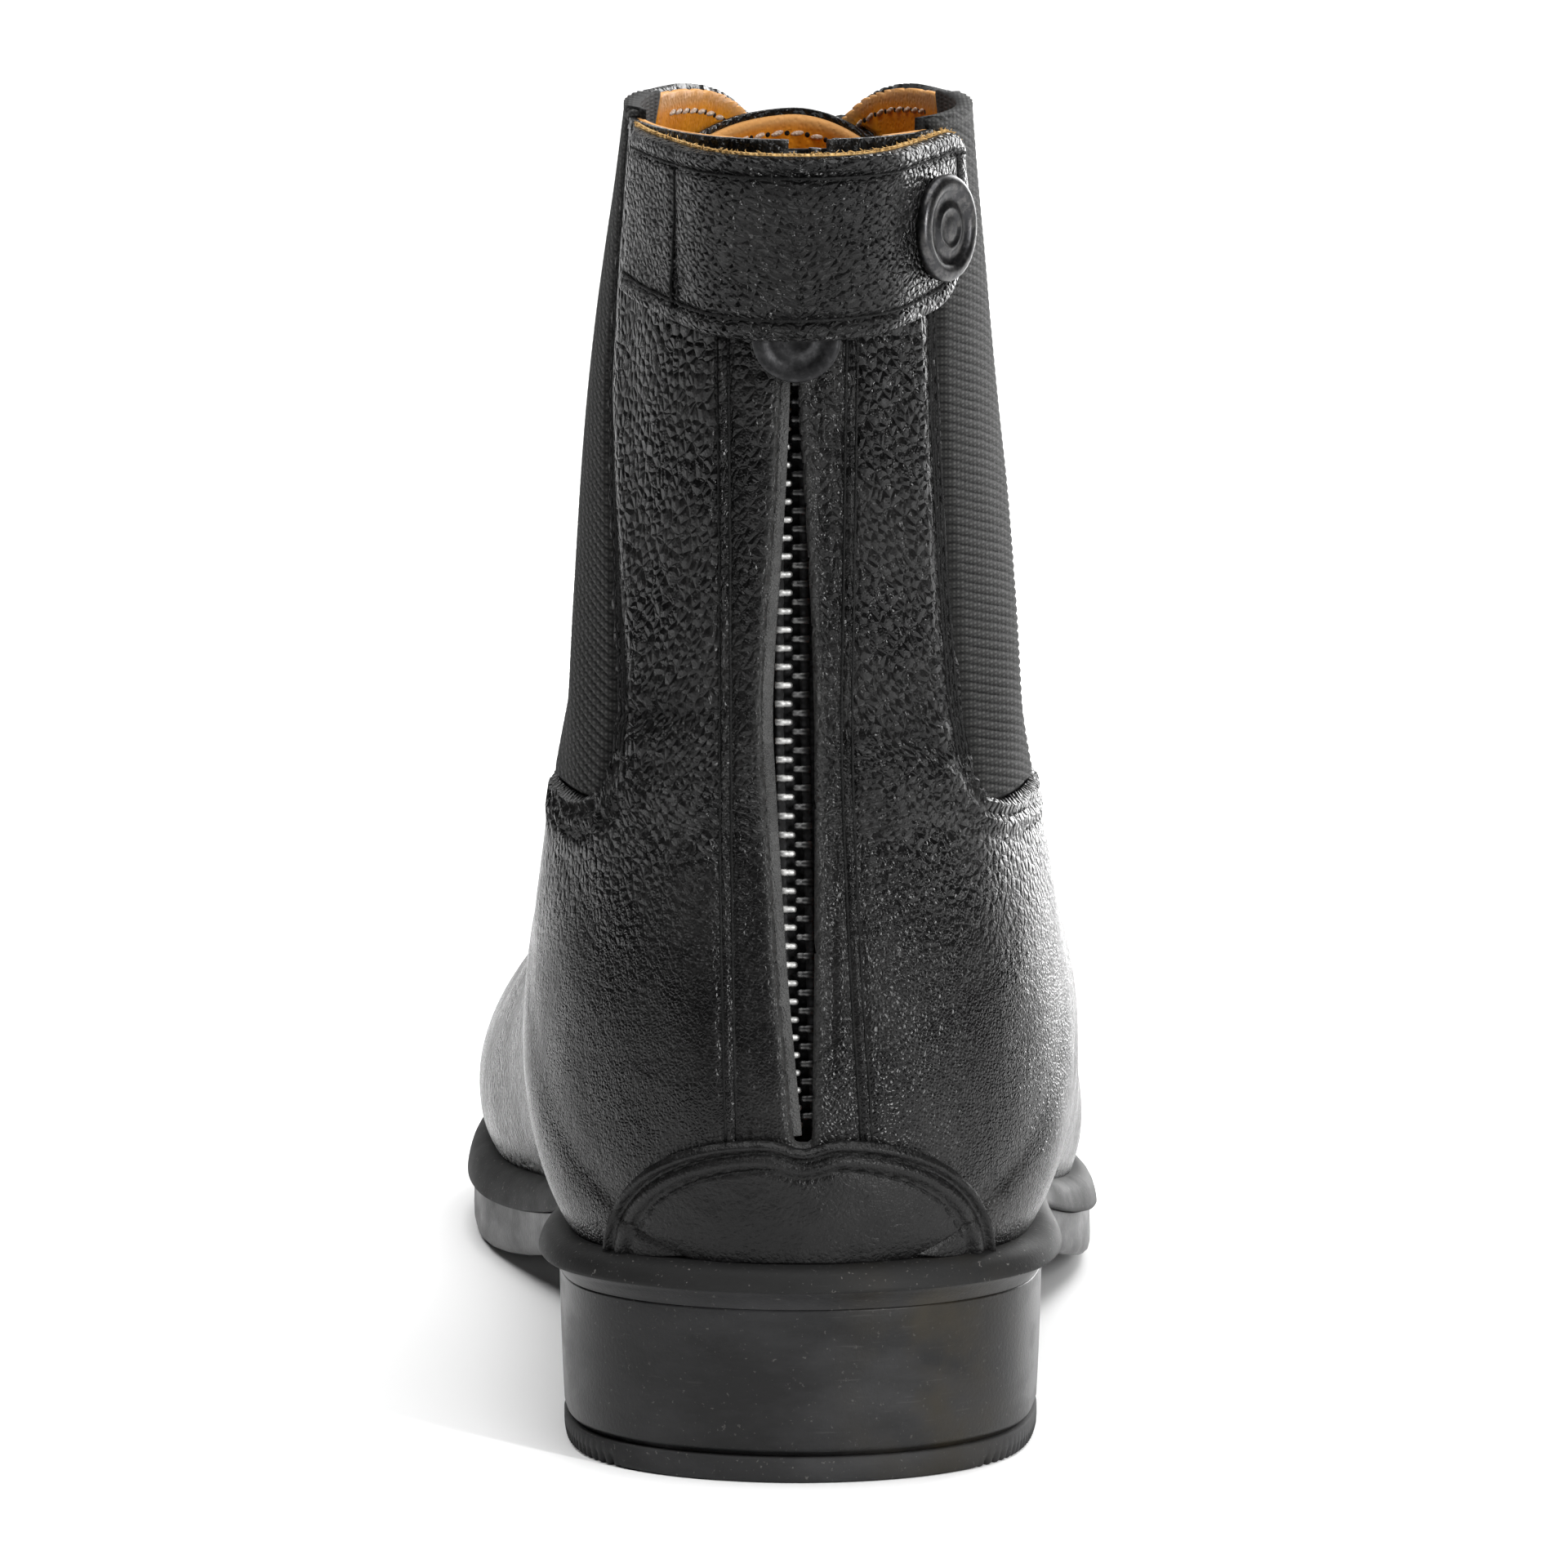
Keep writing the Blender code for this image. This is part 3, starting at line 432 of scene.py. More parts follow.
def leather_material(name, colour, cell_size, depth, gloss, stretch=(1.0, 1.0, 1.0)):
    """Black grained leather: rounded pebbles with creases between them, leaning one way above the ankle and
    the other way below it, worn paler at raw edges and a little dusty. The point attributes grain, worn and
    dust say how much of each shows."""
    material, tree, shader = new_material(name, IOR=1.5, Specular_IOR_Level=0.23)
    flat = object_position(tree)
    part = node(tree, "ShaderNodeSeparateXYZ", {0: flat}).outputs
    mirrored = node(tree, "ShaderNodeCombineXYZ",
                    {0: math_node(tree, "ABSOLUTE", part["X"]), 1: part["Y"], 2: part["Z"]}).outputs[0]
    lean = spread(tree, part["Z"], *ANKLE_HEIGHTS, *GRAIN_LEANS)
    turned_grain = node(tree, "ShaderNodeVectorRotate", {"Vector": mirrored, "Center": GRAIN_CENTRE,
                                                         "Axis": (0.0, 1.0, 0.0), "Angle": lean}).outputs[0]
    drawn = node(tree, "ShaderNodeMapping", {"Vector": turned_grain, "Scale": stretch}).outputs[0]
    wobble = node(tree, "ShaderNodeTexNoise", {"Vector": flat, "Scale": 0.35 / cell_size, "Detail": 1.0})
    offset = vector_math(tree, "SUBTRACT", {0: wobble.outputs["Color"], 1: (0.5, 0.5, 0.5)})
    moved = vector_math(tree, "SCALE", {0: offset, "Scale": 0.8 * cell_size})
    bent = vector_math(tree, "ADD", {0: drawn, 1: moved})
    pebbles = spread(tree, cells(tree, bent, 1.0 / cell_size), 0.0, 0.36, 0.0, 1.0)
    domes = spread(tree, cells(tree, bent, 1.0 / cell_size, "F1"), 0.0, 0.8, 1.0, 0.0)
    small = spread(tree, cells(tree, flat, 2.3 / cell_size), 0.0, 0.4, 0.0, 1.0)
    grain = attribute(tree, "grain")
    height = plus(tree, times(tree, pebbles, 0.75), times(tree, domes, 0.55))
    pores = times(tree, small, spread(tree, grain, 0.0, 1.0, 0.16, 0.12))
    height = plus(tree, times(tree, height, grain), pores)
    swell = bump(tree, noise(tree, flat, 0.25 / cell_size, 3.0), 0.0006, 0.5)
    patches = noise(tree, flat, 90.0, 4.0, 0.6)
    rubbed = spread(tree, noise(tree, flat, 900.0, 3.0), 0.25, 0.7, 0.35, 1.0)
    worn = times(tree, attribute(tree, "worn"), rubbed)
    dust = times(tree, attribute(tree, "dust"), spread(tree, patches, 0.42, 0.75, 0.0, 1.0))
    darker = tuple(0.55 * c for c in colour)
    base = blend_colour(tree, spread(tree, patches, 0.3, 0.7, 0.0, 1.0), darker, colour)
    base = blend_colour(tree, worn, base, WORN_COLOUR)
    base = blend_colour(tree, dust, base, DUST_COLOUR)
    rough = plus(tree, spread(tree, patches, 0.3, 0.7, gloss - 0.07, gloss + 0.08), times(tree, worn, 0.25))
    feed(tree, shader, Normal=bump(tree, height, depth, 1.0, swell), Base_Color=base, Roughness=rough)
    return material


def lining_material():
    """Cognac pigskin with upright streaks, paler suede along its edges and a fine pore bump."""
    material, tree, shader = new_material("lining", Specular_IOR_Level=0.15)
    streaks = noise(tree, object_position(tree, (1.0, 1.0, 0.12)), 420.0, 4.0, 0.65)
    pores = spread(tree, cells(tree, object_position(tree), 1300.0, "F1"), 0.0, 0.5, 0.0, 1.0)
    streaked = spread(tree, streaks, 0.3, 0.72, 0.0, 1.0)
    base = blend_colour(tree, streaked, (0.64, 0.195, 0.006), (0.92, 0.36, 0.020))
    base = blend_colour(tree, attribute(tree, "worn"), base, (0.62, 0.31, 0.10))
    rough = spread(tree, streaks, 0.3, 0.7, 0.45, 0.75)
    normal = bump(tree, pores, 0.00012, 0.6, bump(tree, streaks, 0.0003, 0.5))
    feed(tree, shader, Base_Color=base, Roughness=rough, Normal=normal)
    return material


def rubber_material(name, colour, gloss, dusty, smudged):
    """Moulded black rubber with dust specks, wiped smudges, fine scratches and a brownish stain."""
    material, tree, shader = new_material(name, IOR=1.5, Specular_IOR_Level=0.20)
    flat = object_position(tree)
    wiped = noise(tree, object_position(tree, (1.0, 1.0, 2.2)), 38.0, 5.0, 0.6)
    smudge = spread(tree, wiped, 0.44, 0.70, 0.0, 1.0)
    specks = spread(tree, noise(tree, flat, 1500.0, 2.0, 0.6), 0.66, 0.74, 0.0, 1.0)
    lines = noise(tree, object_position(tree, (0.25, 0.25, 3.0)), 700.0, 2.0)
    scratch = spread(tree, lines, 0.64, 0.72, 0.0, 1.0)
    mark = times(tree, scratch, spread(tree, noise(tree, flat, 45.0), 0.48, 0.62, 0.0, 0.25))
    base = blend_colour(tree, times(tree, smudge, smudged), colour, tuple(3.4 * c for c in colour))
    base = blend_colour(tree, times(tree, mark, smudged), base, (0.07, 0.068, 0.066))
    base = blend_colour(tree, times(tree, specks, dusty), base, (0.20, 0.19, 0.18))
    side = node(tree, "ShaderNodeSeparateXYZ", {0: flat}).outputs["X"]
    begins = spread(tree, side, 0.004, 0.016, 0.0, 1.0)
    ends = spread(tree, side, 0.022, 0.032, 1.0, 0.0)
    patchy = spread(tree, noise(tree, flat, 110.0, 4.0), 0.4, 0.7, 0.0, smudged)
    stain = times(tree, times(tree, begins, ends), patchy)
    base = blend_colour(tree, stain, base, (0.026, 0.021, 0.012))
    rough = spread(tree, smudge, 0.0, 1.0, gloss, gloss + 0.22)
    fine = noise(tree, flat, 1800.0, 3.0)
    normal = bump(tree, fine, 0.00008, 0.55, bump(tree, smudge, 0.0001, 0.3))
    feed(tree, shader, Base_Color=base, Roughness=rough, Normal=normal)
    return material


def metal_material(name, colour, gloss, worn_colour, wear=0.5):
    """Plated metal with small scratches and rubbed patches."""
    material, tree, shader = new_material(name, Metallic=1.0)
    flat = object_position(tree)
    rub = spread(tree, noise(tree, flat, 800.0, 4.0, 0.65), 0.45, 0.68, 0.0, wear)
    rough = spread(tree, noise(tree, flat, 2400.0, 3.0), 0.3, 0.7, gloss - 0.06, gloss + 0.1)
    normal = bump(tree, noise(tree, flat, 3000.0, 2.0), 0.00003, 0.4)
    base = blend_colour(tree, rub, colour, worn_colour)
    feed(tree, shader, Base_Color=base, Roughness=rough, Normal=normal)
    return material


def woven_material(name, colour, pale, pitch, gloss=0.85):
    """Cloth with a fine over and under weave and a little fluff. The point attribute groove darkens it with
    painted shade.
    """
    constants = {"Sheen_Weight": 0.04, "Sheen_Roughness": 0.5, "Specular_IOR_Level": 0.2}
    material, tree, shader = new_material(name, **constants)
    flat = object_position(tree)
    inputs = {"Vector": flat, "Scale": 0.16 / pitch, "Distortion": 0.6}
    weave = [node(tree, "ShaderNodeTexWave", inputs, bands_direction=way).outputs["Fac"] for way in "ZX"]
    fluff = noise(tree, flat, 1600.0, 3.0, 0.7)
    shade = plus(tree, times(tree, times(tree, *weave), 0.5), times(tree, fluff, 0.5))
    base = blend_colour(tree, spread(tree, shade, 0.2, 0.7, 0.0, 1.0), colour, pale)
    # Painted shade: the groove attribute blends the cloth towards near black in its hollows
    base = blend_colour(tree, attribute(tree, "groove"), base, (0.003, 0.003, 0.003))
    rough = spread(tree, fluff, 0.3, 0.7, gloss - 0.1, gloss + 0.08)
    feed(tree, shader, Base_Color=base, Roughness=rough, Normal=bump(tree, shade, 0.00025, 0.8))
    return material


LOOKS = {
    "leather": leather_material("leather", BLACK, 0.0013, 0.00050, 0.27, (1.0, 1.0, 0.72)),
    "strap_leather": leather_material("strap_leather", BLACK, 0.0011, 0.00056, 0.27, (0.6, 1.0, 1.3)),
    "smooth_leather": leather_material("smooth_leather", BLACK, 0.0009, 0.00022, 0.38),
    "raw_edge": leather_material("raw_edge", (0.105, 0.105, 0.104), 0.0005, 0.0002, 0.75),
    "lining": lining_material(),
    "suede": woven_material("suede", (0.46, 0.27, 0.09), (0.74, 0.50, 0.22), 0.0004, 0.92),
    "welt_rubber": rubber_material("welt_rubber", (0.0095, 0.0095, 0.0095), 0.60, 0.5, 0.3),
    "sole_rubber": rubber_material("sole_rubber", (0.0085, 0.0085, 0.0088), 0.34, 0.2, 0.8),
    "lift_rubber": rubber_material("lift_rubber", (0.020, 0.020, 0.0205), 0.65, 0.3, 0.5),
    "elastic": woven_material("elastic", (0.012, 0.012, 0.0118), (0.050, 0.050, 0.048), 0.0003),
    "tape": woven_material("tape", (0.006, 0.006, 0.006), (0.020, 0.020, 0.021), 0.0006),
    "thread": woven_material("thread", (0.0015, 0.0015, 0.0015), (0.006, 0.006, 0.006), 0.0003, 0.6),
    "cream_thread": woven_material("cream_thread", (0.50, 0.36, 0.27), (0.78, 0.66, 0.55), 0.0003, 0.7),
    "lace": woven_material("lace", (0.007, 0.007, 0.007), (0.035, 0.035, 0.036), 0.0009),
    "teeth": metal_material("teeth", (0.30, 0.30, 0.295), 0.50, (0.52, 0.515, 0.50), 0.8),
    # Lateral zip teeth: a darker copy of the teeth metal, painted shadow of the lateral flap
    "flap_shadowed_teeth": metal_material("flap_shadowed_teeth", (0.09, 0.09, 0.09), 0.45, (0.20, 0.20, 0.195), 0.6),
    "dark_steel": metal_material("dark_steel", (0.030, 0.030, 0.031), 0.48, (0.075, 0.075, 0.077), 0.6),
    "gunmetal": metal_material("gunmetal", (0.045, 0.045, 0.047), 0.34, (0.16, 0.155, 0.15), 0.6),
}


# Meshes
def add_piece(name, points, faces, look, nodes, body="boot", closed=True):
    """Smooth piece of points in millimetres, riding a body and standing for the CAD nodes that are named."""
    mesh = bpy.data.meshes.new(name)
    mesh.from_pydata(place(points).tolist(), [], [tuple(map(int, face)) for face in faces])
    work = bmesh.new()
    work.from_mesh(mesh)
    bmesh.ops.dissolve_degenerate(work, edges=work.edges, dist=1e-8)
    if closed:
        bmesh.ops.recalc_face_normals(work, faces=work.faces)
    work.to_mesh(mesh)
    work.free()
    mesh.materials.append(LOOKS[look])
    mesh.shade_smooth()
    item = bpy.data.objects.new(name, mesh)
    bpy.context.scene.collection.objects.link(item)
    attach(item, body)
    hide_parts(*nodes)
    return item


def set_points(item, **values):
    """Point attributes of a piece that its material reads, each one number or one per point."""
    count = len(item.data.vertices)
    for name, value in values.items():
        layer = item.data.attributes.new(name, "FLOAT", "POINT")
        layer.data.foreach_set("value", np.broadcast_to(np.asarray(value, np.float32), count).copy())


def grid_faces(rows, columns):
    corner = (np.arange(rows - 1)[:, None] * columns + np.arange(columns - 1)[None, :]).reshape(-1)
    return np.stack([corner, corner + columns, corner + columns + 1, corner + 1], axis=1)


def slab_mesh(outer, inner):
    """Points and faces of a closed sheet between two grids of the same size."""
    rows, columns = outer.shape[:2]
    shift = rows * columns
    ids = np.arange(shift).reshape(rows, columns)
    rim = np.concatenate([ids[0, :-1], ids[:-1, -1], ids[-1, :0:-1], ids[:0:-1, 0]])
    after = np.roll(rim, -1)
    faces = grid_faces(rows, columns)
    walls = np.stack([rim, after, after + shift, rim + shift], axis=1)
    return (np.concatenate([outer.reshape(-1, 3), inner.reshape(-1, 3)]),
            np.concatenate([faces, faces[:, ::-1] + shift, walls]))


class Patch:
    """Grid on the skin. edges(z) gives its two columns, heights(share) its lower and upper height."""

    def __init__(self, edges, heights, size):
        columns, rows = size
        self.across = np.linspace(0, 1, columns)[None, :] + np.zeros((rows, 1))
        self.up = np.linspace(0, 1, rows)[:, None] + np.zeros((1, columns))
        low, high = heights(self.across)
        self.z = low + (high - low) * self.up
        first, last = edges(self.z)
        self.turn = first + (last - first) * self.across
        self.point = on_skin(self.z, self.turn)
        self.normal = normal_at(self.z, self.turn)
        width = np.linalg.norm(np.diff(self.point, axis=1), axis=2).sum(axis=1)[:, None]
        height = np.linalg.norm(np.diff(self.point, axis=0), axis=2).sum(axis=0)[None, :]
        self.from_side = np.minimum(self.across, 1 - self.across) * width
        self.from_foot = self.up * height
        self.from_top = (1 - self.up) * height
        self.from_edge = np.minimum(self.from_side, np.minimum(self.from_foot, self.from_top))

    def out(self, distance):
        return self.point + self.normal * np.asarray(distance)[..., None]


def round_over(distance, radius):
    """How far a face drops near a rounded edge: radius at the edge itself, nothing a radius away."""
    near = 1 - np.clip(distance / radius, 0, 1)
    return radius * (1 - np.sqrt(1 - near * near))


class Parts:
    """Points and faces of many small shapes, gathered into one mesh."""

    def __init__(self):
        self.points = []
        self.faces = []
        self.count = 0

    def add(self, points, faces):
        self.points.append(np.asarray(points, float).reshape(-1, 3))
        self.faces.extend((np.asarray(face) + self.count).tolist() for face in faces)
        self.count += len(self.points[-1])

    def piece(self, name, look, slot, nodes, body="boot"):
        add_piece(name, np.concatenate(self.points), self.faces, look, nodes, body)


def ball(rings, sides):
    """Unit ball as points and faces, with its poles on the first axis."""
    points = [(-1.0, 0.0, 0.0)]
    for i in range(1, rings):
        lean = math.pi * i / rings
        for j in range(sides):
            spin = 2 * math.pi * j / sides
            points.append((-math.cos(lean), math.sin(lean) * math.cos(spin), math.sin(lean) * math.sin(spin)))
    points.append((1.0, 0.0, 0.0))
    last = len(points) - 1
    faces = [(0, 1 + (j + 1) % sides, 1 + j) for j in range(sides)]
    for i in range(rings - 2):
        for j in range(sides):
            first = 1 + i * sides
            after = (j + 1) % sides
            faces.append((first + j, first + after, first + sides + after, first + sides + j))
    first = 1 + (rings - 2) * sides
    faces += [(last, first + j, first + (j + 1) % sides) for j in range(sides)]
    return np.array(points), faces


BALL = ball(5, 6)


def path_frames(path, normals, pitch, start=0.5):
    """Evenly spaced points along a path, with the direction along it, across it and out of the surface."""
    path = np.asarray(path, float)
    steps = np.concatenate([[0], np.cumsum(np.linalg.norm(np.diff(path, axis=0), axis=1))])
    count = max(2, int(round(steps[-1] / pitch)))
    at = (np.arange(count) + start) * steps[-1] / count

    def read(values):
        return np.stack([np.interp(at, steps, values[:, k]) for k in range(3)], axis=1)

    along = unit(read(np.gradient(path, axis=0)))
    out = unit(read(np.asarray(normals, float)))
    return read(path), along, unit(np.cross(out, along)), out


def add_stitches(parts, path, normals, pitch, length, radius, sink=0.08, lean=0.0):
    """Row of stitches along a path, each a small spindle that dips into the leather at both ends."""
    points, faces = BALL
    for middle, along, across, out in zip(*path_frames(path, normals, pitch)):
        direction = along * math.cos(lean) + across * math.sin(lean)
        side = np.cross(out, direction)
        shape = (points[:, :1] * direction * length / 2 + points[:, 1:2] * side * radius
                 + points[:, 2:] * out * radius)
        parts.add(middle + shape - out * sink, faces)


def add_pinholes(parts, path, normals, pitch, radius):
    """Dark dots for the needle holes between the stitches of a row: painted shade in the holes."""
    points, faces = BALL
    for middle, along, across, out in zip(*path_frames(path, normals, pitch, 1.0)):
        shape = points[:, :1] * along * radius + points[:, 1:2] * across * radius + points[:, 2:] * out * 0.06
        parts.add(middle + shape, faces)


def add_tube(parts, path, radius, sides):
    """Round bar along an open path, with its ends closed. radius is one number or one per point."""
    path = np.asarray(path, float)
    along = unit(np.gradient(path, axis=0))
    helper = np.where(np.abs(along[:, 2:]) > 0.9, np.array([[1.0, 0.0, 0.0]]), np.array([[0.0, 0.0, 1.0]]))
    across = unit(np.cross(along, helper))
    up = np.cross(across, along)
    spin = np.linspace(0, 2 * math.pi, sides, endpoint=False)
    ring = np.cos(spin)[None, :, None] * across[:, None] + np.sin(spin)[None, :, None] * up[:, None]
    radius = np.broadcast_to(np.asarray(radius, float), len(path))
    points = path[:, None] + ring * radius[:, None, None]
    ids = np.arange(len(path) * sides).reshape(len(path), sides)
    faces = []
    for j in range(sides):
        after = (j + 1) % sides
        faces += np.stack([ids[:-1, j], ids[:-1, after], ids[1:, after], ids[1:, j]], axis=1).tolist()
    faces += [ids[0, ::-1].tolist(), ids[-1].tolist()]
    parts.add(points, faces)


def turned(profile, sides):
    """Closed solid turned about local Z, from radius and height along a profile that ends on the axis."""
    spin = np.linspace(0, 2 * math.pi, sides, endpoint=False)
    points = [(0.0, 0.0, profile[0][1])]
    for radius, height in profile[1:-1]:
        points += [(radius * math.cos(a), radius * math.sin(a), height) for a in spin]
    points.append((0.0, 0.0, profile[-1][1]))
    rings = len(profile) - 2
    last = len(points) - 1
    faces = []
    for j in range(sides):
        after = (j + 1) % sides
        faces.append((0, 1 + j, 1 + after))
        for i in range(rings - 1):
            first = 1 + i * sides
            faces.append((first + j, first + sides + j, first + sides + after, first + after))
        first = 1 + (rings - 1) * sides
        faces.append((first + j, last, first + after))
    return np.array(points), faces


def facing(points, middle, normal):
    """Points about local Z, turned so that Z runs along an outward normal and moved to a middle."""
    turn = np.array(Vector(normal).to_track_quat("Z", "Y").to_matrix())
    return np.asarray(points) @ turn.T + np.asarray(middle)


# Upper: openings, creases and seams
SLOT_FOOT = 48.0
GUSSET_BOTTOM = 92.0
GUSSET_FRONT = 80.0
GUSSET_SIDES = ("medial", "lateral")
GUSSET_COLUMNS = ("z", "medial", "lateral")
GUSSET_EDGE = (
    (88.0, 27.0, 24.6),
    (98.0, 27.5, 25.4),
    (105.0, 28.5, 26.2),
    (120.0, 33.6, 27.6),
    (137.0, 38.6, 28.3),
    (150.0, 42.6, 28.2),
    (168.0, 45.0, 28.7),
    (187.0, 47.0, 29.5),
)
WINDOW_ROUND = 6.0
HEM_ROWS = (2.6, 5.4)
THROAT_BOTTOM = 93.0
THROAT_HALF = 6.2
FACING_ROWS = (2.6, 14.8)
SEAM_HALF = 0.7
COLLAR_TOP = 187.0
COLLAR_DIP = 3.6
CORNER_DIP = 2.6
FRONT_HALF = 70.0
EYELET_PAIRS = 7
EYELET_LOW = 103.0
EYELET_HIGH = 177.0
EYELET_OUT = 12.5
EYELET_HOLE = 2.5
LEATHER = 1.2
LINING_OUT = -1.3
LINING_IN = -2.2
HEEL_SOFT = 0.7


def eyelet_places():
    """Height, turn, point and normal of each eyelet, low to high, inner side first."""
    found = []
    for z in np.linspace(EYELET_LOW, EYELET_HIGH, EYELET_PAIRS):
        for side in (-1, 1):
            turn = front_turn(throat_middle(z) + side * EYELET_OUT, z)
            found.append((z, float(turn), on_skin(z, turn), normal_at(z, turn)))
    return found


EYELETS = eyelet_places()
GUSSET_REAR = {side: smooth_table(GUSSET_EDGE, GUSSET_COLUMNS, side) for side in GUSSET_SIDES}


def open_above(across, up, half, low, radius):
    """Distance to an opening that runs up from low between -half and half, with round lower corners."""
    a = np.abs(across) - half + radius
    b = low - up + radius
    return np.hypot(np.maximum(a, 0), np.maximum(b, 0)) + np.minimum(np.maximum(a, b), 0) - radius


def slot_distance(p):
    z = p[..., 2]
    half = (slot_right(z) - slot_left(z)) / 2
    found = open_above(p[..., 0] - zip_middle(z), z, half, SLOT_FOOT, 0.8)
    return np.where(p[..., 1] < FRONT_HALF, found, FAR)


def window_distance(p):
    total = np.full(p.shape[:-1], FAR)
    for side in GUSSET_SIDES:
        middle = (GUSSET_REAR[side](p[..., 2]) + GUSSET_FRONT) / 2
        found = open_above(p[..., 1] - middle, p[..., 2], GUSSET_FRONT - middle, GUSSET_BOTTOM, WINDOW_ROUND)
        here = (p[..., 0] < -8) if side == "medial" else (p[..., 0] > 8)
        total = np.where(here, np.minimum(total, found), total)
    return total


def throat_distance(p):
    across = p[..., 0] - throat_middle(p[..., 2])
    found = open_above(across, p[..., 2], THROAT_HALF, THROAT_BOTTOM, THROAT_HALF - 0.1)
    return np.where(p[..., 1] > FRONT_HALF, found, FAR)


def collar_dip(x):
    """How far the collar edge falls towards the throat, with a rounded corner at the last."""
    near = np.abs(x) - THROAT_HALF
    return COLLAR_DIP * np.exp(-(near / 7.0) ** 2) + CORNER_DIP * np.exp(-(near / 3.4) ** 2)


def collar_distance(p):
    """Distance below the collar edge, which dips towards the throat."""
    return np.where(p[..., 1] > FRONT_HALF, COLLAR_TOP - collar_dip(p[..., 0]) - p[..., 2], FAR)


def eyelet_distance(p):
    total = np.full(p.shape[:-1], FAR)
    for z, turn, point, normal in EYELETS:
        total = np.minimum(total, np.linalg.norm(p - point, axis=-1) - EYELET_HOLE)
    return total


OPENINGS = (slot_distance, window_distance, throat_distance, collar_distance, eyelet_distance)

# Creases of the ankle and vamp: middle (x, y, z), how far along and across they fade, lean, and height
CREASES = (
    ((-19.5, 17.0, 105.0), 6.5, 1.1, 0.05, -0.75),
    ((-20.0, 17.0, 107.4), 6.0, 1.3, 0.05, 0.40),
    ((-21.0, 17.0, 101.8), 7.0, 1.5, 0.10, 0.35),
    ((-17.0, 16.0, 97.0), 6.0, 1.6, -0.10, -0.40),
    ((16.5, 15.0, 101.2), 5.0, 1.1, -0.45, -0.75),
    ((16.5, 15.0, 103.8), 5.0, 1.3, -0.45, 0.40),
    ((17.5, 15.0, 97.6), 5.5, 1.5, -0.40, 0.35),
    ((14.0, 14.0, 110.5), 5.0, 1.5, -0.30, -0.35),
    ((-13.0, 14.0, 128.0), 4.0, 1.8, 0.20, -0.25),
    ((13.0, 14.0, 133.0), 4.5, 1.8, -0.15, -0.25),
)
VAMP_CREASES = ((172.0, 2.6, -0.55), (178.0, 2.8, 0.40), (186.0, 3.0, -0.60), (193.0, 3.2, 0.35))


def creases(p):
    """Soft troughs and ridges where the leather folds over ankle and toes."""
    total = np.zeros(p.shape[:-1])
    for (x, y, z), long, wide, lean, height in CREASES:
        along = p[..., 0] - x
        across = p[..., 2] - z - lean * along
        near = np.exp(-((p[..., 1] - y) / 22.0) ** 2)
        total += height * np.exp(-(along / long) ** 4 - (across / wide) ** 2) * near
    for y, wide, height in VAMP_CREASES:
        at = p[..., 1] - y - 0.10 * (p[..., 0] + 5.0) - 1.5 * np.sin(p[..., 0] / 9.0)
        total += height * np.exp(-(at / wide) ** 2 - (p[..., 0] / 26.0) ** 4) * step(p[..., 2], 45, 62)
    return total


def panel_side(p):
    """Distance outside the zip panel, negative on it and far from it round the front."""
    z = p[..., 2]
    found = np.maximum(panel_left(z) - p[..., 0], p[..., 0] - panel_right(z))
    return np.where(p[..., 1] < FRONT_HALF, found, FAR)


def panel_seam(p):
    """The zip panel lies a little lower than the quarters, with a fine ridge between two stitch grooves."""
    side = panel_side(p)
    grooves = 0.40 * hill(side, -SEAM_HALF, 0.4) + 0.40 * hill(side, SEAM_HALF, 0.4)
    ridge = 0.25 * hill(side, 0.0, 0.4) - grooves
    return (ridge - 0.35 * step(-side, -0.2, 1.2)) * step(p[..., 2], 36, 46)


def heel_swell(p):
    """Quarters stand proud beside the seam over the heel, and the flaps lift where the zip strains."""
    x = p[..., 0]
    z = p[..., 2]
    rear = p[..., 1] < FRONT_HALF
    heel = step(z, 44, 56) * (1 - step(z, 86, 108))
    swell = heel * (0.75 * hill(x, -14.5, 5.0) + 0.75 * hill(x, 13.5, 5.0))
    left = np.maximum(slot_left(z) - x, 0)
    right = np.maximum(x - slot_right(z), 0)
    lift = np.where(x < 0, np.exp(-left / 3.0) * hill(z, 106, 26), 0.0)
    flap = 0.5 * np.exp(-right / 3.0) * hill(z, 100, 30)
    groove = 0.45 * hill(right, 2.4, 0.8) * step(z, 56, 64)
    lift += np.where(x > 0, flap - groove, 0.0)
    return np.where(rear, swell + lift, 0.0)


def window_lip(p):
    """Folded strip along the gusset windows, and a double stitched roll under them."""
    d = window_distance(p)
    below = step(-p[..., 2], -GUSSET_BOTTOM - 3, -GUSSET_BOTTOM + 1)
    strip = 0.20 * (1 - step(d, 0.6, 1.2)) - 0.30 * hill(d, 2.0, 0.9) + 0.45 * hill(d, 5.0, 2.2)
    roll = 0.55 * hill(d, 1.2, 1.0) + 0.50 * hill(d, 3.9, 1.1)
    roll -= 0.30 * hill(d, HEM_ROWS[0], 0.5) + 0.30 * hill(d, HEM_ROWS[1], 0.6)
    return strip * (1 - below) + roll * below


def facing_strip(p):
    """Raised facing along the throat, with a stitch groove near each of its edges."""
    d = throat_distance(p)
    return 0.35 * (1 - step(d, 15.6, 16.6)) - sum(0.2 * hill(d, row, 0.7) for row in FACING_ROWS)


def relief(p):
    """Height of the leather's face over the skin, in millimetres."""
    swell = 0.28 * waves(p, 58.0, 3) + 0.12 * waves(p, 21.0, 5)
    return swell + creases(p) + panel_seam(p) + heel_swell(p) + window_lip(p) + facing_strip(p)


def edge_distance(p, insets):
    """Distance outside every opening, with each opening grown by its inset."""
    return np.minimum.reduce([opening(p) - inset for opening, inset in zip(OPENINGS, insets)])


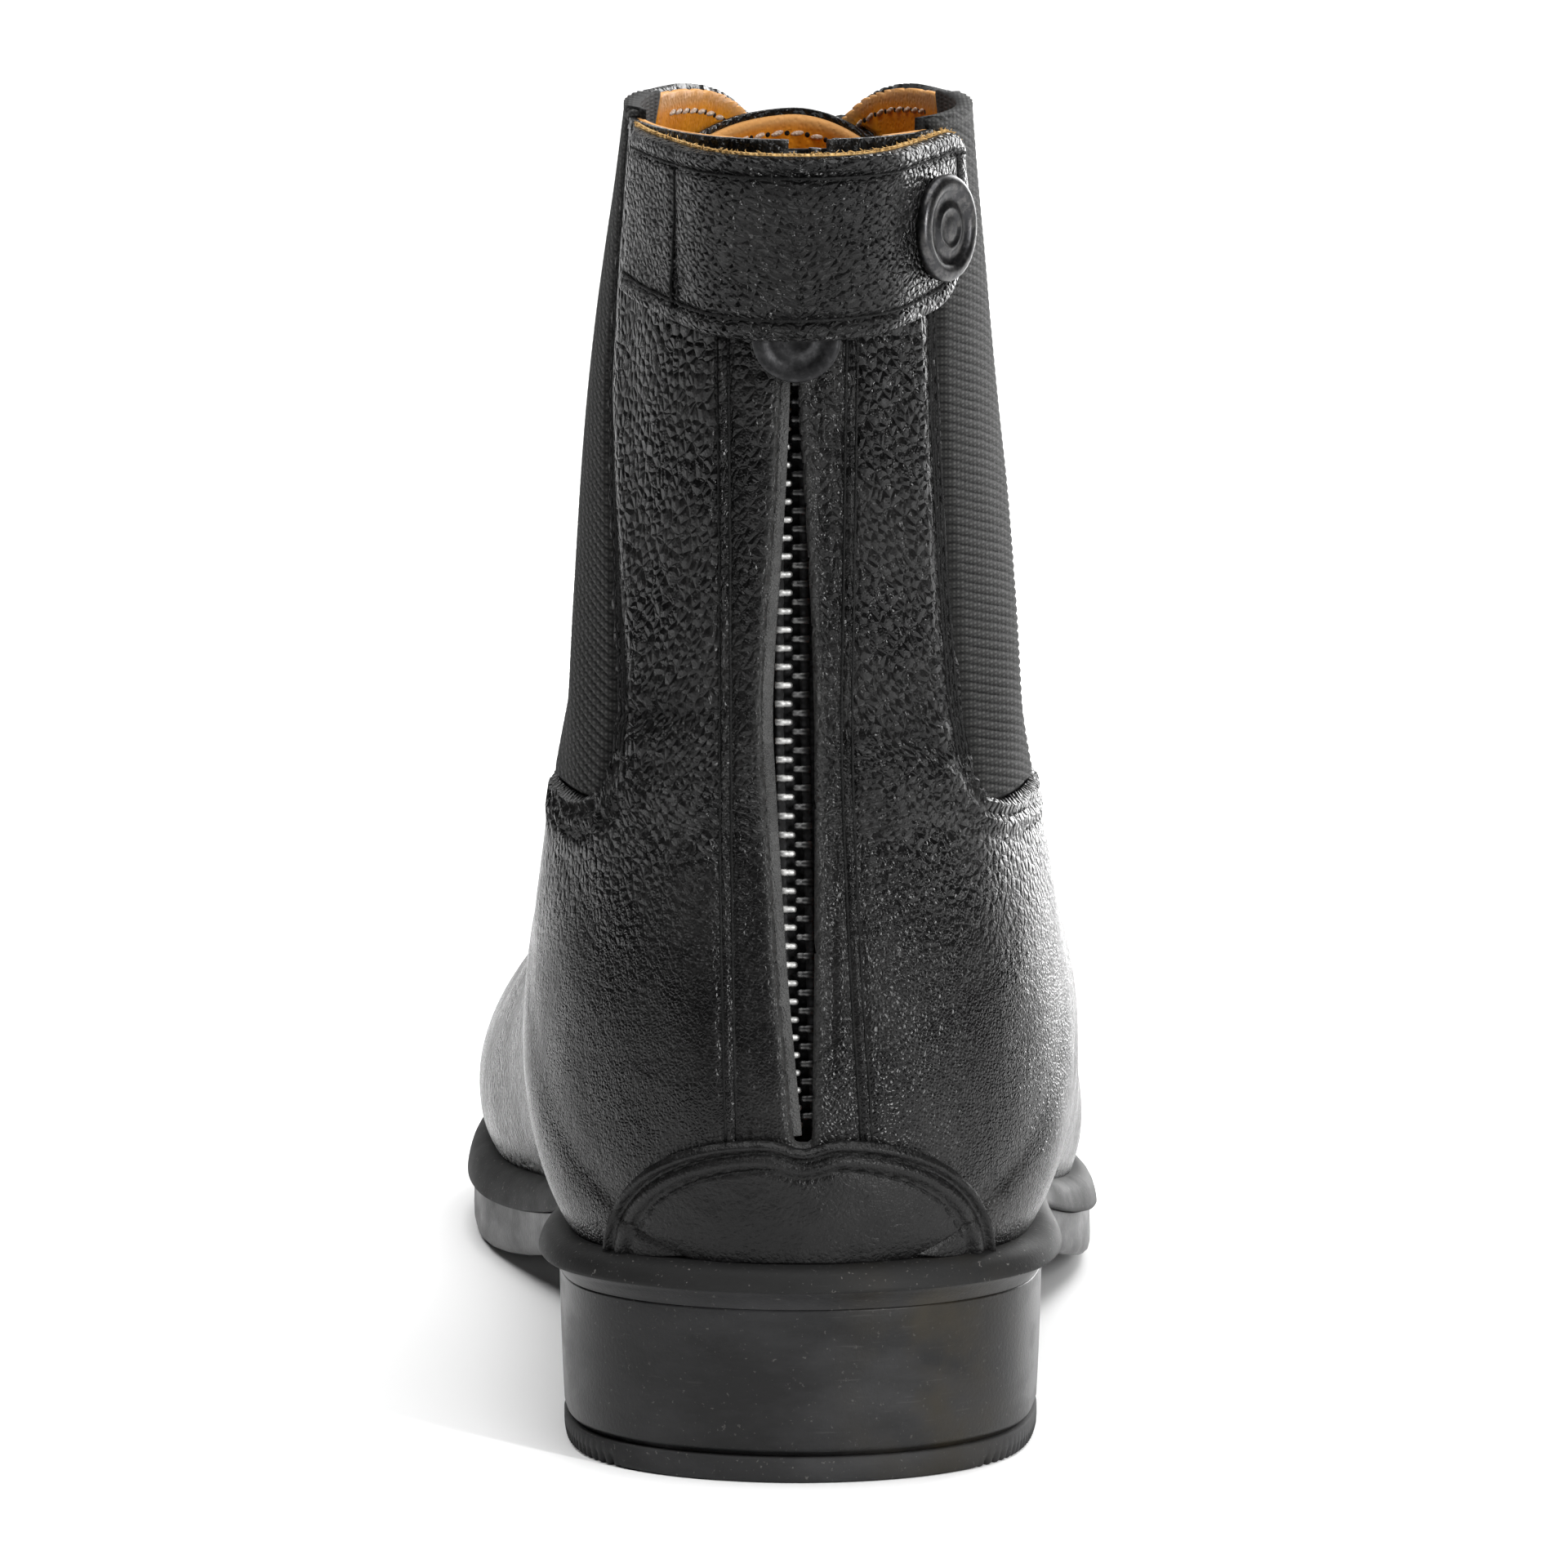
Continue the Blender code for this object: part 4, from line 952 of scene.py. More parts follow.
def snap_to_edges(points, quads, distance):
    """Moves the points nearest to an opening's edge onto it, and keeps the faces that lie outside it."""
    ends = np.concatenate([quads[:, [k, (k + 1) % 4]] for k in range(4)])
    ends = np.unique(np.sort(ends, axis=1), axis=0)
    first, second = ends[:, 0], ends[:, 1]
    crossing = distance[first] * distance[second] < 0
    first, second = first[crossing], second[crossing]
    share = distance[first] / (distance[first] - distance[second])
    from_first = share < 0.5
    mover = np.where(from_first, first, second)
    target = np.where(from_first, second, first)
    amount = np.where(from_first, share, 1 - share)
    order = np.argsort(-amount)
    moved = points.copy()
    mine = points[mover[order]]
    moved[mover[order]] = mine + (points[target[order]] - mine) * amount[order, None]
    settled = distance.copy()
    settled[mover] = 0.0
    return moved, settled, quads[settled[quads].min(axis=1) >= 0]


def upper_shares(fine, middle, coarse):
    """Shares of the way round, finest at the back beside the zip and coarsest at the front."""
    stretches = ((0.0, 0.0675, fine), (0.0675, 0.3, middle), (0.3, 0.5, coarse), (0.5, 0.7, coarse),
                 (0.7, 0.9427, middle), (0.9427, 1.0, fine))
    return np.concatenate([np.linspace(a, b, count, endpoint=False) for a, b, count in stretches] + [[1.0]])


def upper_rows(toe, heel, leg):
    """Row numbers from the toe to the collar, with a count for each table row of each stretch."""
    stretches = ((0, 9, toe), (9, HEEL_TIP_ROW, heel), (HEEL_TIP_ROW, TOP_ROW, leg))
    found = [np.linspace(a, b, (b - a) * n, endpoint=False) for a, b, n in stretches]
    return np.concatenate(found + [[TOP_ROW]])


def soften_heel(points, rows, shares):
    """Evens out the faint fold in the skin along the section that starts at the heel's tip."""
    weight = np.exp(-((rows[:, None] - rows[None, :]) / HEEL_SOFT) ** 2) * np.gradient(rows)[None, :]
    even = np.einsum("ij,jkc->ikc", weight / weight.sum(axis=1, keepdims=True), points)
    inside = np.minimum(shares, 1 - shares)
    near = np.exp(-((rows - HEEL_TIP_ROW) / (2 * HEEL_SOFT)) ** 4)
    here = near[:, None] * step(inside, 0.02, 0.09)[None, :]
    return points + (even - points) * here[..., None]


def upper_sheet(rows, shares, insets):
    """Points, normals, edge distances and faces of the upper's skin, opened at every edge."""
    first = feather_turn(rows[:, None])
    turns = first + (1 - 2 * first) * shares[None, :]
    points = skin(rows[:, None], turns)
    normals = skin_normal(rows[:, None], turns)
    points = soften_heel(points, rows, shares)
    ids = np.arange(points.shape[0] * points.shape[1]).reshape(points.shape[:2])
    leg = rows >= HEEL_TIP_ROW
    ids[leg, -1] = ids[leg, 0]
    quads = np.stack([ids[:-1, :-1], ids[1:, :-1], ids[1:, 1:], ids[:-1, 1:]], axis=-1).reshape(-1, 4)
    points = points.reshape(-1, 3)
    moved, settled, kept = snap_to_edges(points, quads, edge_distance(points, insets))
    return moved, normals.reshape(-1, 3), np.maximum(settled, 0), kept


def shell(name, points, faces, thickness, look, nodes):
    """Open sheet thickened inward, without the points that no face uses."""
    used, faces = np.unique(faces, return_inverse=True)
    item = add_piece(name, points[used], faces.reshape(-1, 4), look, nodes, closed=False)
    wall = item.modifiers.new("wall", "SOLIDIFY")
    wall.thickness = thickness * MM
    wall.offset = -1.0
    return item, used


def add_upper():
    rows = upper_rows(4, 8, 13)
    points, normals, edge, faces = upper_sheet(rows, upper_shares(31, 56, 23), (0, 0, 0, 0, 0))
    height = relief(points) - round_over(edge, 0.9)
    item, used = shell("upper_leather", points + normals * height[:, None], faces, LEATHER, "leather",
                       ["upper"])
    p = points[used]
    rear = 1 - step(p[:, 1], FRONT_HALF, FRONT_HALF + 40)
    smooth = np.maximum((1 - step(p[:, 2], 62, 106)) * rear, 0.75 * step(p[:, 1], 62, 100))
    grain = 1.0 - 0.88 * smooth - 0.45 * (panel_side(p) < 0) * (1 - smooth)
    worn = 0.9 * np.exp(-np.maximum(slot_distance(p), 0) / 0.6) + 0.25 * np.exp(-window_distance(p) / 0.8)
    dust = 0.25 + 0.55 * (1 - step(p[:, 2], 34, 50))
    set_points(item, grain=grain, worn=np.clip(worn, 0, 1), dust=dust)


def add_lining():
    rows = upper_rows(2, 4, 8)
    points, normals, edge, faces = upper_sheet(rows, upper_shares(9, 28, 22), (9.0, 0.9, 0.9, 0.6, 0.3))
    item, used = shell("upper_lining", points + normals * LINING_OUT, faces, LINING_OUT - LINING_IN, "lining",
                       ["upper"])
    band = np.minimum(collar_distance(points), COLLAR_TOP - 0.5 - points[:, 2])[used]
    set_points(item, worn=1 - step(band, 1.6, 3.2))


add_upper()
add_lining()


# Sole
KNURL_PITCH = 1.5
KNURL_DEPTH = 0.5
KNURL_START = 16.0
GROOVE = 0.6


def feather_stations(rows):
    """Plan of the feather line at real row numbers: middle, half width, y and seat height."""
    found = []
    for name, mirror in (("base_x", 1), ("feather", -1), ("base_y", 1), ("base_z", 1)):
        values = column(SECTIONS, COLUMNS, name)[:HEEL_TIP_ROW + 1]
        values = np.concatenate([[mirror * values[1]], values, [mirror * values[-2]]])
        found.append(catmull(values, np.asarray(rows) + 1))
    return found


def sole_stack(name, look, node_name, rows, levels):
    """Solid from loops round the foot, bottom to top. Each level gives how far it stands out from the feather
    line, and its height, at the stations' y and seat height."""
    middle, half, y, seat = feather_stations(rows)
    count = len(y)
    back = slice(count - 2, None, -1)
    station_y = np.concatenate([y, y[back]])
    plan = np.stack([np.concatenate([middle - half, (middle + half)[back]]), station_y], axis=1)
    tangent = np.gradient(plan, axis=0)
    if half[0] < 1e-6:
        tangent[0] = tangent[-1] = (-1.0, 0.0)
    outward = unit(np.stack([tangent[:, 1], -tangent[:, 0]], axis=1))
    station_seat = np.concatenate([seat, seat[back]])
    loops = []
    for out, height in levels:
        edge = plan + outward * (np.zeros_like(station_y) + out(station_y, station_seat))[:, None]
        loops.append(np.column_stack([edge, np.zeros_like(station_y) + height(station_y, station_seat)]))
    around = 2 * count - 1
    ids = np.arange(len(loops) * around).reshape(len(loops), around)
    ring = np.concatenate([ids, ids[:, :1]], axis=1)
    corners = [ring[:-1, :-1], ring[:-1, 1:], ring[1:, 1:], ring[1:, :-1]]
    faces = np.stack(corners, axis=-1).reshape(-1, 4).tolist()
    for first in (0, (len(loops) - 1) * around):
        for i in range(count - 1):
            strip = (i, i + 1, around - 2 - i, around - 1 - i)
            faces.append([first + v for v in dict.fromkeys(strip)])
    add_piece(name, np.concatenate(loops), faces, look, [node_name])


def welt_bottom(y, seat):
    return seat - GAP - sole_value("welt", y)


def sole_top(y, seat):
    return welt_bottom(y, seat) - 0.05


def tread(y, seat):
    return sole_value("tread_z", y)


def heel_part(y):
    """1 under the heel, 0 along the rest of the foot."""
    return 1 - step(y, 56, 80)


def knurl(y):
    """1 in the notches of the tread along the sides of the heel, 0 between them and round the back."""
    notch = step(np.sin(2 * math.pi * y / KNURL_PITCH), -0.3, 0.5)
    return notch * step(y, KNURL_START - 1, KNURL_START + 1) * (1 - step(y, HEEL_LENGTH - 4, HEEL_LENGTH - 2))


def level(base, out_less, height):
    """One loop of a stack: so much less than the sole table's column, or than a number, at a height."""
    if isinstance(base, str):
        return lambda y, seat: sole_value(base, y) - out_less, height
    return lambda y, seat: base - out_less, height


def welt_height(share):
    return lambda y, seat: welt_bottom(y, seat) + share * sole_value("welt", y)


def add_sole():
    whole = np.linspace(0, HEEL_TIP_ROW, HEEL_TIP_ROW * 12 + 1)
    profile = ((2.4, 0.0), (0.16, 0.0), (0.0, 0.06), (0.06, 0.20), (0.25, 0.45), (0.60, 0.75), (1.10, 1.0),
               (2.0, 1.2), (3.1, 1.36), (5.5, 1.36))
    levels = [level("welt_out", less, welt_height(share)) for less, share in profile]
    sole_stack("welt_strip", "welt_rubber", "welt", whole, levels)

    def side(less, flare, share):
        def out(y, seat):
            return sole_value("sole_out", y) - less * (1 - heel_part(y)) + flare * heel_part(y)
        return out, lambda y, seat: tread(y, seat) + share * (sole_top(y, seat) - tread(y, seat))

    profile = ((2.4, -1.2, 0.0), (1.2, 0.2, 0.0), (0.9, 0.38, 0.0), (0.8, 0.39, 0.02), (0.35, 0.44, 0.07),
               (0.05, 0.65, 0.22), (0.0, 1.0, 0.4), (0.05, 1.75, 0.7), (0.15, 2.55, 0.96), (0.16, 2.6, 0.99),
               (0.5, 2.3, 1.0), (2.4, -1.2, 1.0))
    levels = [side(*row) for row in profile]
    sole_stack("outsole_plate", "sole_rubber", "outsole", whole, levels)

    base_y = column(SECTIONS, COLUMNS, "base_y")[:HEEL_TIP_ROW + 1]
    breast = np.interp(-HEEL_LENGTH, -base_y, np.arange(HEEL_TIP_ROW + 1))
    heel = np.linspace(breast, HEEL_TIP_ROW, 260)
    foot = TOP_LIFT + GROOVE

    def block(less, share, drop=0.0):
        return level(HEEL_OUT, less, lambda y, seat: foot + share * (tread(y, seat) - 0.06 - foot) - drop)

    profile = ((1.6, 0.0), (0.95, 0.012), (0.75, 0.04), (0.5, 0.3), (0.25, 0.65), (0.12, 0.95), (0.12, 0.985),
               (0.13, 1.0), (0.35, 1.0), (2.6, 1.0))
    levels = [block(less, 0.0, GROOVE - 0.1) for less in (2.6, 1.7)]
    levels += [block(less, share) for less, share in profile]
    sole_stack("heel_stack", "sole_rubber", "heel_block", heel, levels)

    def lift(less, height, bite, raised=0.0):
        def out(y, seat):
            return HEEL_OUT - less - bite * KNURL_DEPTH * knurl(y)
        return out, lambda y, seat: height + raised * knurl(y) * KNURL_DEPTH

    profile = ((3.0, 0.0, 1.0, 1.0), (1.35, 0.0, 1.0, 1.0), (0.9, 0.35, 1.0, 0.8), (0.78, 0.9, 0.8, 0.3),
               (0.72, 1.9, 0.0), (0.72, TOP_LIFT - 0.3, 0.0), (0.95, TOP_LIFT, 0.0), (3.0, TOP_LIFT, 0.0))
    levels = [lift(*row) for row in profile]
    sole_stack("heel_lift", "lift_rubber", "top_lift", heel, levels)


# Gussets
RIB_PITCH = 1.3
RIB_LEAN = {"medial": 0.30, "lateral": -0.22}
RIB_HEIGHT = 0.55
GUSSET_TUCK = 2.5


def gusset_patch(side, tuck, low, high, size):
    def edges(z):
        return side_turn(side, GUSSET_REAR[side](z) - tuck, z), side_turn(side, GUSSET_FRONT + tuck, z)

    return Patch(edges, lambda across: (low, high), size)


def add_gussets():
    """Ribbed elastic in each window, dipping under the leather at its edges, with a rolled top."""
    for side in GUSSET_SIDES:
        foot = GUSSET_BOTTOM - GUSSET_TUCK
        ribs = int((COLLAR_TOP - foot) / RIB_PITCH)
        patch = gusset_patch(side, GUSSET_TUCK, foot, COLLAR_TOP, (44, ribs * 6 + 1))
        slant = RIB_LEAN[side] * patch.point[..., 1]
        rib = np.abs(np.cos(math.pi * (patch.z - slant + 0.2 * np.sin(patch.across * 9)) / RIB_PITCH)) ** 0.7
        inside = np.minimum(step(patch.from_side, 4.0, 5.0), step(patch.from_foot, 2.0, 3.4))
        out = -1.75 + (1.15 + RIB_HEIGHT * rib) * inside
        points, faces = slab_mesh(patch.out(out), patch.out(out * 0 - 2.35))
        nodes = ["gusset_" + side]
        item = add_piece("gusset_elastic_" + side, points, faces, "elastic", nodes)
        # Painted shade between the ribs and along the edges that dip under the leather, stored in the groove
        # attribute
        gap = np.maximum(1 - step(rib, 0.25, 0.8), 1 - inside).reshape(-1)
        set_points(item, groove=np.concatenate([gap, gap]))
        roll = Parts()
        top = gusset_patch(side, 0.5, COLLAR_TOP - 1.2, COLLAR_TOP - 1.0, (40, 2))
        add_tube(roll, top.out(top.z * 0 - 1.1)[0], 1.05, 12)
        roll.piece("gusset_roll_" + side, "elastic", "gusset_elastic", nodes)


# Heel counter and collar strap
COUNTER_HALF = 26.0
COUNTER_HEIGHT = 48.6
COUNTER_FOOT = 31.3
COUNTER_FOOT_DROP = 0.5
COUNTER_SQUARENESS = 2.6
COUNTER_DIP_HALF = 3.0
COUNTER_DIP = 1.3
COUNTER_ROWS = (1.65, 4.05)
# Radius of the black tubes laid in stitch grooves as painted shade
GROOVE_SHADE_RADIUS = 0.2
SEAM_PITCH = 3.1
SEAM_STITCH = (2.2, 0.3)
BORDER_ROW = 2.9
FOOT_ROW = 2.8


def counter_top(x):
    low = COUNTER_FOOT - COUNTER_FOOT_DROP * (x / COUNTER_HALF) ** 2
    dome = np.sqrt(np.clip(1 - np.abs(x / COUNTER_HALF) ** COUNTER_SQUARENESS, 0, 1))
    return low, low + (COUNTER_HEIGHT - low) * dome - COUNTER_DIP * hill(x, 0.5, COUNTER_DIP_HALF)


def counter_edge_distance(x, z):
    """Distance inside the counter's curved edge, from its outline sampled finely."""
    at = COUNTER_HALF * np.sin(np.linspace(-math.pi / 2, math.pi / 2, 181))
    outline = np.stack([at * 1.03, counter_top(at)[1]], axis=1)
    return np.sqrt(np.min([(x - a) ** 2 + (z - b) ** 2 for a, b in outline], axis=0))


def add_counter(threads_and_shade):
    """Heel patch with two raised ropes along its edge, stitched in the grooves beside them over black tubes
    of painted shade.
    """

    def edges(z):
        return rear_turn(-COUNTER_HALF, z), rear_turn(COUNTER_HALF, z)

    def heights(across):
        low, high = counter_top((2 * across - 1) * COUNTER_HALF * 0.9995)
        return low, np.maximum(high, low + 0.6)

    patch = Patch(edges, heights, (150, 64))
    d = counter_edge_distance(patch.point[..., 0], patch.z)
    rope = 0.50 * hill(d, 0.8, 0.6) + 0.45 * hill(d, 2.85, 0.8)
    rope -= 0.40 * hill(d, COUNTER_ROWS[0], 0.4) + 0.32 * hill(d, COUNTER_ROWS[1], 0.45)
    wrinkles = 0.10 * waves(patch.point, 9.0, 11) + 0.06 * waves(patch.point, 4.5, 12)
    out = 1.25 + rope + wrinkles * step(d, 3, 6) - round_over(d, 0.8)
    points, faces = slab_mesh(patch.out(out), patch.out(out * 0 + 0.15))
    item = add_piece("heel_counter_patch", points, faces, "smooth_leather", ["heel_counter"])
    set_points(item, grain=0.25, worn=0.0, dust=0.2)
    spin = np.linspace(-1, 1, 90)
    for inset in COUNTER_ROWS:
        x = spin * (COUNTER_HALF - inset)
        low, high = counter_top(x * COUNTER_HALF / (COUNTER_HALF - inset))
        z = low + (high - low) * (1 - inset / (COUNTER_HEIGHT - COUNTER_FOOT))
        keep = z > low + 1.5
        turn = rear_turn(x[keep], z[keep])
        normals = normal_at(z[keep], turn)
        # Black tube in the stitch groove: painted shade
        add_tube(threads_and_shade, on_skin(z[keep], turn, 0.98), 0.18, 6)
        add_stitches(threads_and_shade, on_skin(z[keep], turn, 1.14), normals, 2.6, 1.9, 0.3)


STRAP_END = {"medial": 38.5, "lateral": 35.5}
STRAP_BOTTOM = 158.0
STRAP_TOP = 183.3
STRAP_BOTTOM_RISE = 5.0
STRAP_TOP_RISE = 1.9
STRAP_THICKNESS = 1.6
STRAP_STANDOFF = 4.4
STRAP_BOW = 13.5
STRAP_CORNER = 5.0
STRAP_LOW_CORNER = 10.0
STRAP_LENGTH = 66.0
STRAP_SEAM_X = -15.2
PIVOT_Z = 170.0
SNAP_RADIUS = 7.5
SNAP_X = 17.5
SNAP_Z = 172.0


def strap_inner(x):
    """Stand-off of the strap: it lies on the leather at its ends and clears the zip pull in the middle."""
    return GAP + STRAP_STANDOFF * np.exp(-((x - zip_middle(PIVOT_Z)) / STRAP_BOW) ** 4)


def strap_edges(z):
    return side_turn("lateral", STRAP_END["lateral"], z) - 1.0, side_turn("medial", STRAP_END["medial"], z)


def strap_heights(across):
    spread_out = (2 * across - 1) ** 2
    low = STRAP_BOTTOM + STRAP_BOTTOM_RISE * spread_out
    high = STRAP_TOP + STRAP_TOP_RISE * spread_out
    along = across * STRAP_LENGTH
    return low + round_over(along, STRAP_LOW_CORNER), high - round_over(along, STRAP_CORNER)


def nearest(values, wanted):
    return np.argmin(np.abs(values - wanted))


def sewn_line(threads_and_shade, path, normals, grooved, sewn, rise=0.0):
    """Black tube along one stretch of a line on the leather, painted shade in its groove, with stitches along
    another stretch of it.
    """
    add_tube(threads_and_shade, path[grooved] + 0.06 * normals[grooved], GROOVE_SHADE_RADIUS, 6)
    add_stitches(threads_and_shade, path[sewn] + rise * normals[sewn], normals[sewn], SEAM_PITCH, *SEAM_STITCH)


def add_strap(threads_and_shade):
    """Collar strap with a flat bound border, stitched in a groove along it."""
    patch = Patch(strap_edges, strap_heights, (170, 70))
    border = np.minimum(patch.from_top, patch.across * STRAP_LENGTH)
    groove = -0.42 * hill(border, BORDER_ROW, 0.5) - 0.36 * hill(patch.from_foot, FOOT_ROW, 0.5)
    groove += 0.22 * hill(border, 1.5, 1.0) + 0.10 * hill(patch.from_foot, 1.4, 0.8)
    groove -= 0.35 * hill(patch.point[..., 0], STRAP_SEAM_X, 0.5)
    groove -= 1.2 * (1 - step((1 - patch.across) * STRAP_LENGTH, 0.3, 3.5))
    swell = 0.22 * waves(patch.point, 16.0, 21) + 0.07 * waves(patch.point, 5.0, 22)
    inner = strap_inner(patch.point[..., 0])
    out = inner + STRAP_THICKNESS + groove + swell - round_over(patch.from_edge, 0.8)
    points, faces = slab_mesh(patch.out(out), patch.out(inner))
    nodes = ["collar_strap"]
    item = add_piece("collar_strap_leather", points, faces, "strap_leather", nodes)
    set_points(item, grain=1.0, worn=0.0, dust=0.1)
    seat = patch.out(out)
    top = nearest(patch.from_top[:, 85], BORDER_ROW)
    foot = nearest(patch.from_foot[:, 85], FOOT_ROW)
    for row in (top, foot):
        sewn_line(threads_and_shade, seat[row], patch.normal[row], slice(3, -3), slice(8, -4), 0.1)
    seam = nearest(patch.point[35, :, 0], STRAP_SEAM_X)
    sewn_line(threads_and_shade, seat[:, seam], patch.normal[:, seam], slice(5, -8), slice(8, -9))
    end = nearest(patch.across[0] * STRAP_LENGTH, BORDER_ROW)
    sewn_line(threads_and_shade, seat[:, end], patch.normal[:, end], slice(8, -12), slice(8, -12))


def add_snap():
    """Snap cap of plain concentric rings."""
    turn = rear_turn(SNAP_X, SNAP_Z)
    normal = normal_at(SNAP_Z, turn)
    seat = strap_inner(SNAP_X) + STRAP_THICKNESS + 0.1
    profile = ((0.0, 1.75), (0.20, 1.72), (0.30, 1.55), (0.34, 1.75), (0.40, 1.78), (0.44, 1.5), (0.66, 1.45),
               (0.70, 1.85), (0.78, 2.1), (0.88, 2.05), (0.95, 1.75), (0.99, 1.2), (0.98, 0.5), (0.93, 0.0),
               (0.0, 0.0))
    points, faces = turned([(share * SNAP_RADIUS, height) for share, height in profile], 64)
    middle = on_skin(SNAP_Z, turn) + normal * seat
    add_piece("snap_rings", facing(points, middle, normal), faces, "gunmetal", ["snap_cap"])


add_sole()
add_gussets()
# Black thread, with the black tubes and dots of painted shade in stitch grooves and needle holes
BLACK_THREAD_AND_SHADE = Parts()
add_counter(BLACK_THREAD_AND_SHADE)
add_strap(BLACK_THREAD_AND_SHADE)
add_snap()


# Zip
TOOTH_PITCH = 2.5
TOOTH_OUT = -3.55
TOOTH_TILT = 0.22
FLAP_EDGE = 1.25
FLAP_TUCK = 0.45
PULL_DISC_Z = 158.0
PULL_DISC_RADIUS = 6.1

# Sections of one tooth from its root to its tip: distance from the root, half height and half depth
TOOTH = ((0.0, 0.38, 0.35), (0.12, 0.50, 0.52), (1.20, 0.52, 0.55), (1.40, 0.44, 0.50), (1.60, 0.46, 0.5),
         (2.1, 0.46, 0.5), (2.35, 0.36, 0.42), (2.5, 0.14, 0.2))


def chain_middle(z):
    return zip_middle(z) + 0.45 * hill(z, 103.0, 30.0)


def tooth_points(side):
    """Tooth as rounded bars: across is measured from the chain's middle, side -1 is the inner side."""
    corners = np.linspace(0, 2 * math.pi, 12, endpoint=False)
    square = 1 / np.maximum(np.abs(np.cos(corners)), np.abs(np.sin(corners))) ** 0.75
    points = []
    for reach, high, deep in TOOTH:
        across = side * (2.45 - reach) - 0.05 * side
        points.append(np.stack([np.full(12, across), deep * square * np.cos(corners),
                                high * square * np.sin(corners)], axis=1))
    ids = np.arange(len(TOOTH) * 12).reshape(len(TOOTH), 12)
    after = np.roll(ids, -1, axis=1)
    faces = np.stack([ids[:-1], after[:-1], after[1:], ids[1:]], axis=-1).reshape(-1, 4).tolist()
    return np.concatenate(points), faces + [ids[0].tolist(), ids[-1, ::-1].tolist()]


def add_zip():
    """Teeth on both tapes, half a pitch apart, the cords that hold them, the tape's foot and the top stop."""
    teeth = {-1: Parts(), 1: Parts()}
    heights = np.arange(SLOT_FOOT + 2.0, STRAP_TOP - 1.5, TOOTH_PITCH / 2)
    for i, z in enumerate(heights):
        side = -1 if i % 2 == 0 else 1
        shape, faces = tooth_points(side)
        turn = rear_turn(chain_middle(z), z)
        middle = on_skin(z, turn)
        normal = normal_at(z, turn)
        across = unit(np.cross(normal, [0.0, 0.0, 1.0]))
        across = across if across[0] > 0 else -across
        up = np.cross(across, normal)
        up = up if up[2] > 0 else -up
        out = TOOTH_OUT - TOOTH_TILT * shape[:, :1] + shape[:, 1:2]
        teeth[side].add(middle + shape[:, :1] * across + out * normal + shape[:, 2:] * up, faces)
    teeth[-1].piece("zip_teeth_medial", "teeth", "zip_metal", ["zip_chain"])
    # The lateral teeth take the darker copy of the metal: painted shadow of the lateral flap over them
    teeth[1].piece("zip_teeth_lateral", "flap_shadowed_teeth", "zip_metal", ["zip_chain"])
    cords = Parts()
    z = np.linspace(SLOT_FOOT + 1.2, STRAP_TOP - 1, 180)
    for side in (-1, 1):
        turn = rear_turn(chain_middle(z) + side * 2.1, z)
        wobble = 0.06 * np.cos(2 * math.pi * z / TOOTH_PITCH * 2)
        add_tube(cords, on_skin(z, turn, TOOTH_OUT - 0.35 - TOOTH_TILT * side * 2.1), 0.62 + wobble, 10)
    cords.piece("zip_cords", "tape", "zip_tape", ["zip_chain"])
    foot = Patch(lambda z: (rear_turn(zip_middle(z) + 6.0, z), rear_turn(zip_middle(z) - 6.0, z)),
                 lambda across: (SLOT_FOOT - 4.0, SLOT_FOOT + 8.0), (9, 9))
    points, faces = slab_mesh(foot.out(TOOTH_OUT - 1.5 + 0 * foot.z), foot.out(TOOTH_OUT - 2.0 + 0 * foot.z))
    add_piece("zip_tape_foot", points, faces, "tape", ["zip_chain"])
    stop = Parts()
    z = np.linspace(STRAP_TOP - 2.0, STRAP_TOP + 0.3, 6)
    add_tube(stop, on_skin(z, rear_turn(chain_middle(z) + 1.6, z), TOOTH_OUT + 0.6), 0.9, 10)
    stop.piece("zip_top_stop", "gunmetal", "zip_metal", ["zip_chain"])


def add_flap_edge():
    """Raw cut edge of the inner flap beside the zip, sloping down to the tape."""
    def edges(z):
        return rear_turn(slot_left(z) + FLAP_EDGE, z), rear_turn(slot_left(z) - FLAP_TUCK, z)

    patch = Patch(edges, lambda across: (SLOT_FOOT + 0.8, STRAP_TOP), (7, 240))
    rim = on_skin(patch.z[:, -1], rear_turn(slot_left(patch.z[:, -1]), patch.z[:, -1]))
    face = relief(rim)[:, None] - 0.95
    fibres = 0.06 * waves(patch.point, 1.1, 61) + 0.05 * waves(patch.point, 2.6, 62)
    rise = np.sin(np.clip(patch.across * (1 + FLAP_TUCK / FLAP_EDGE), 0, 1) * math.pi / 2)
    out = -1.5 + (face + 1.5) * rise + fibres * hill(patch.across, 0.4, 0.35)
    points, faces = slab_mesh(patch.out(out), patch.out(out * 0 - 2.2))
    item = add_piece("zip_flap_edge", points, faces, "raw_edge", ["upper"])
    set_points(item, grain=1.0, worn=0.3, dust=0.0)


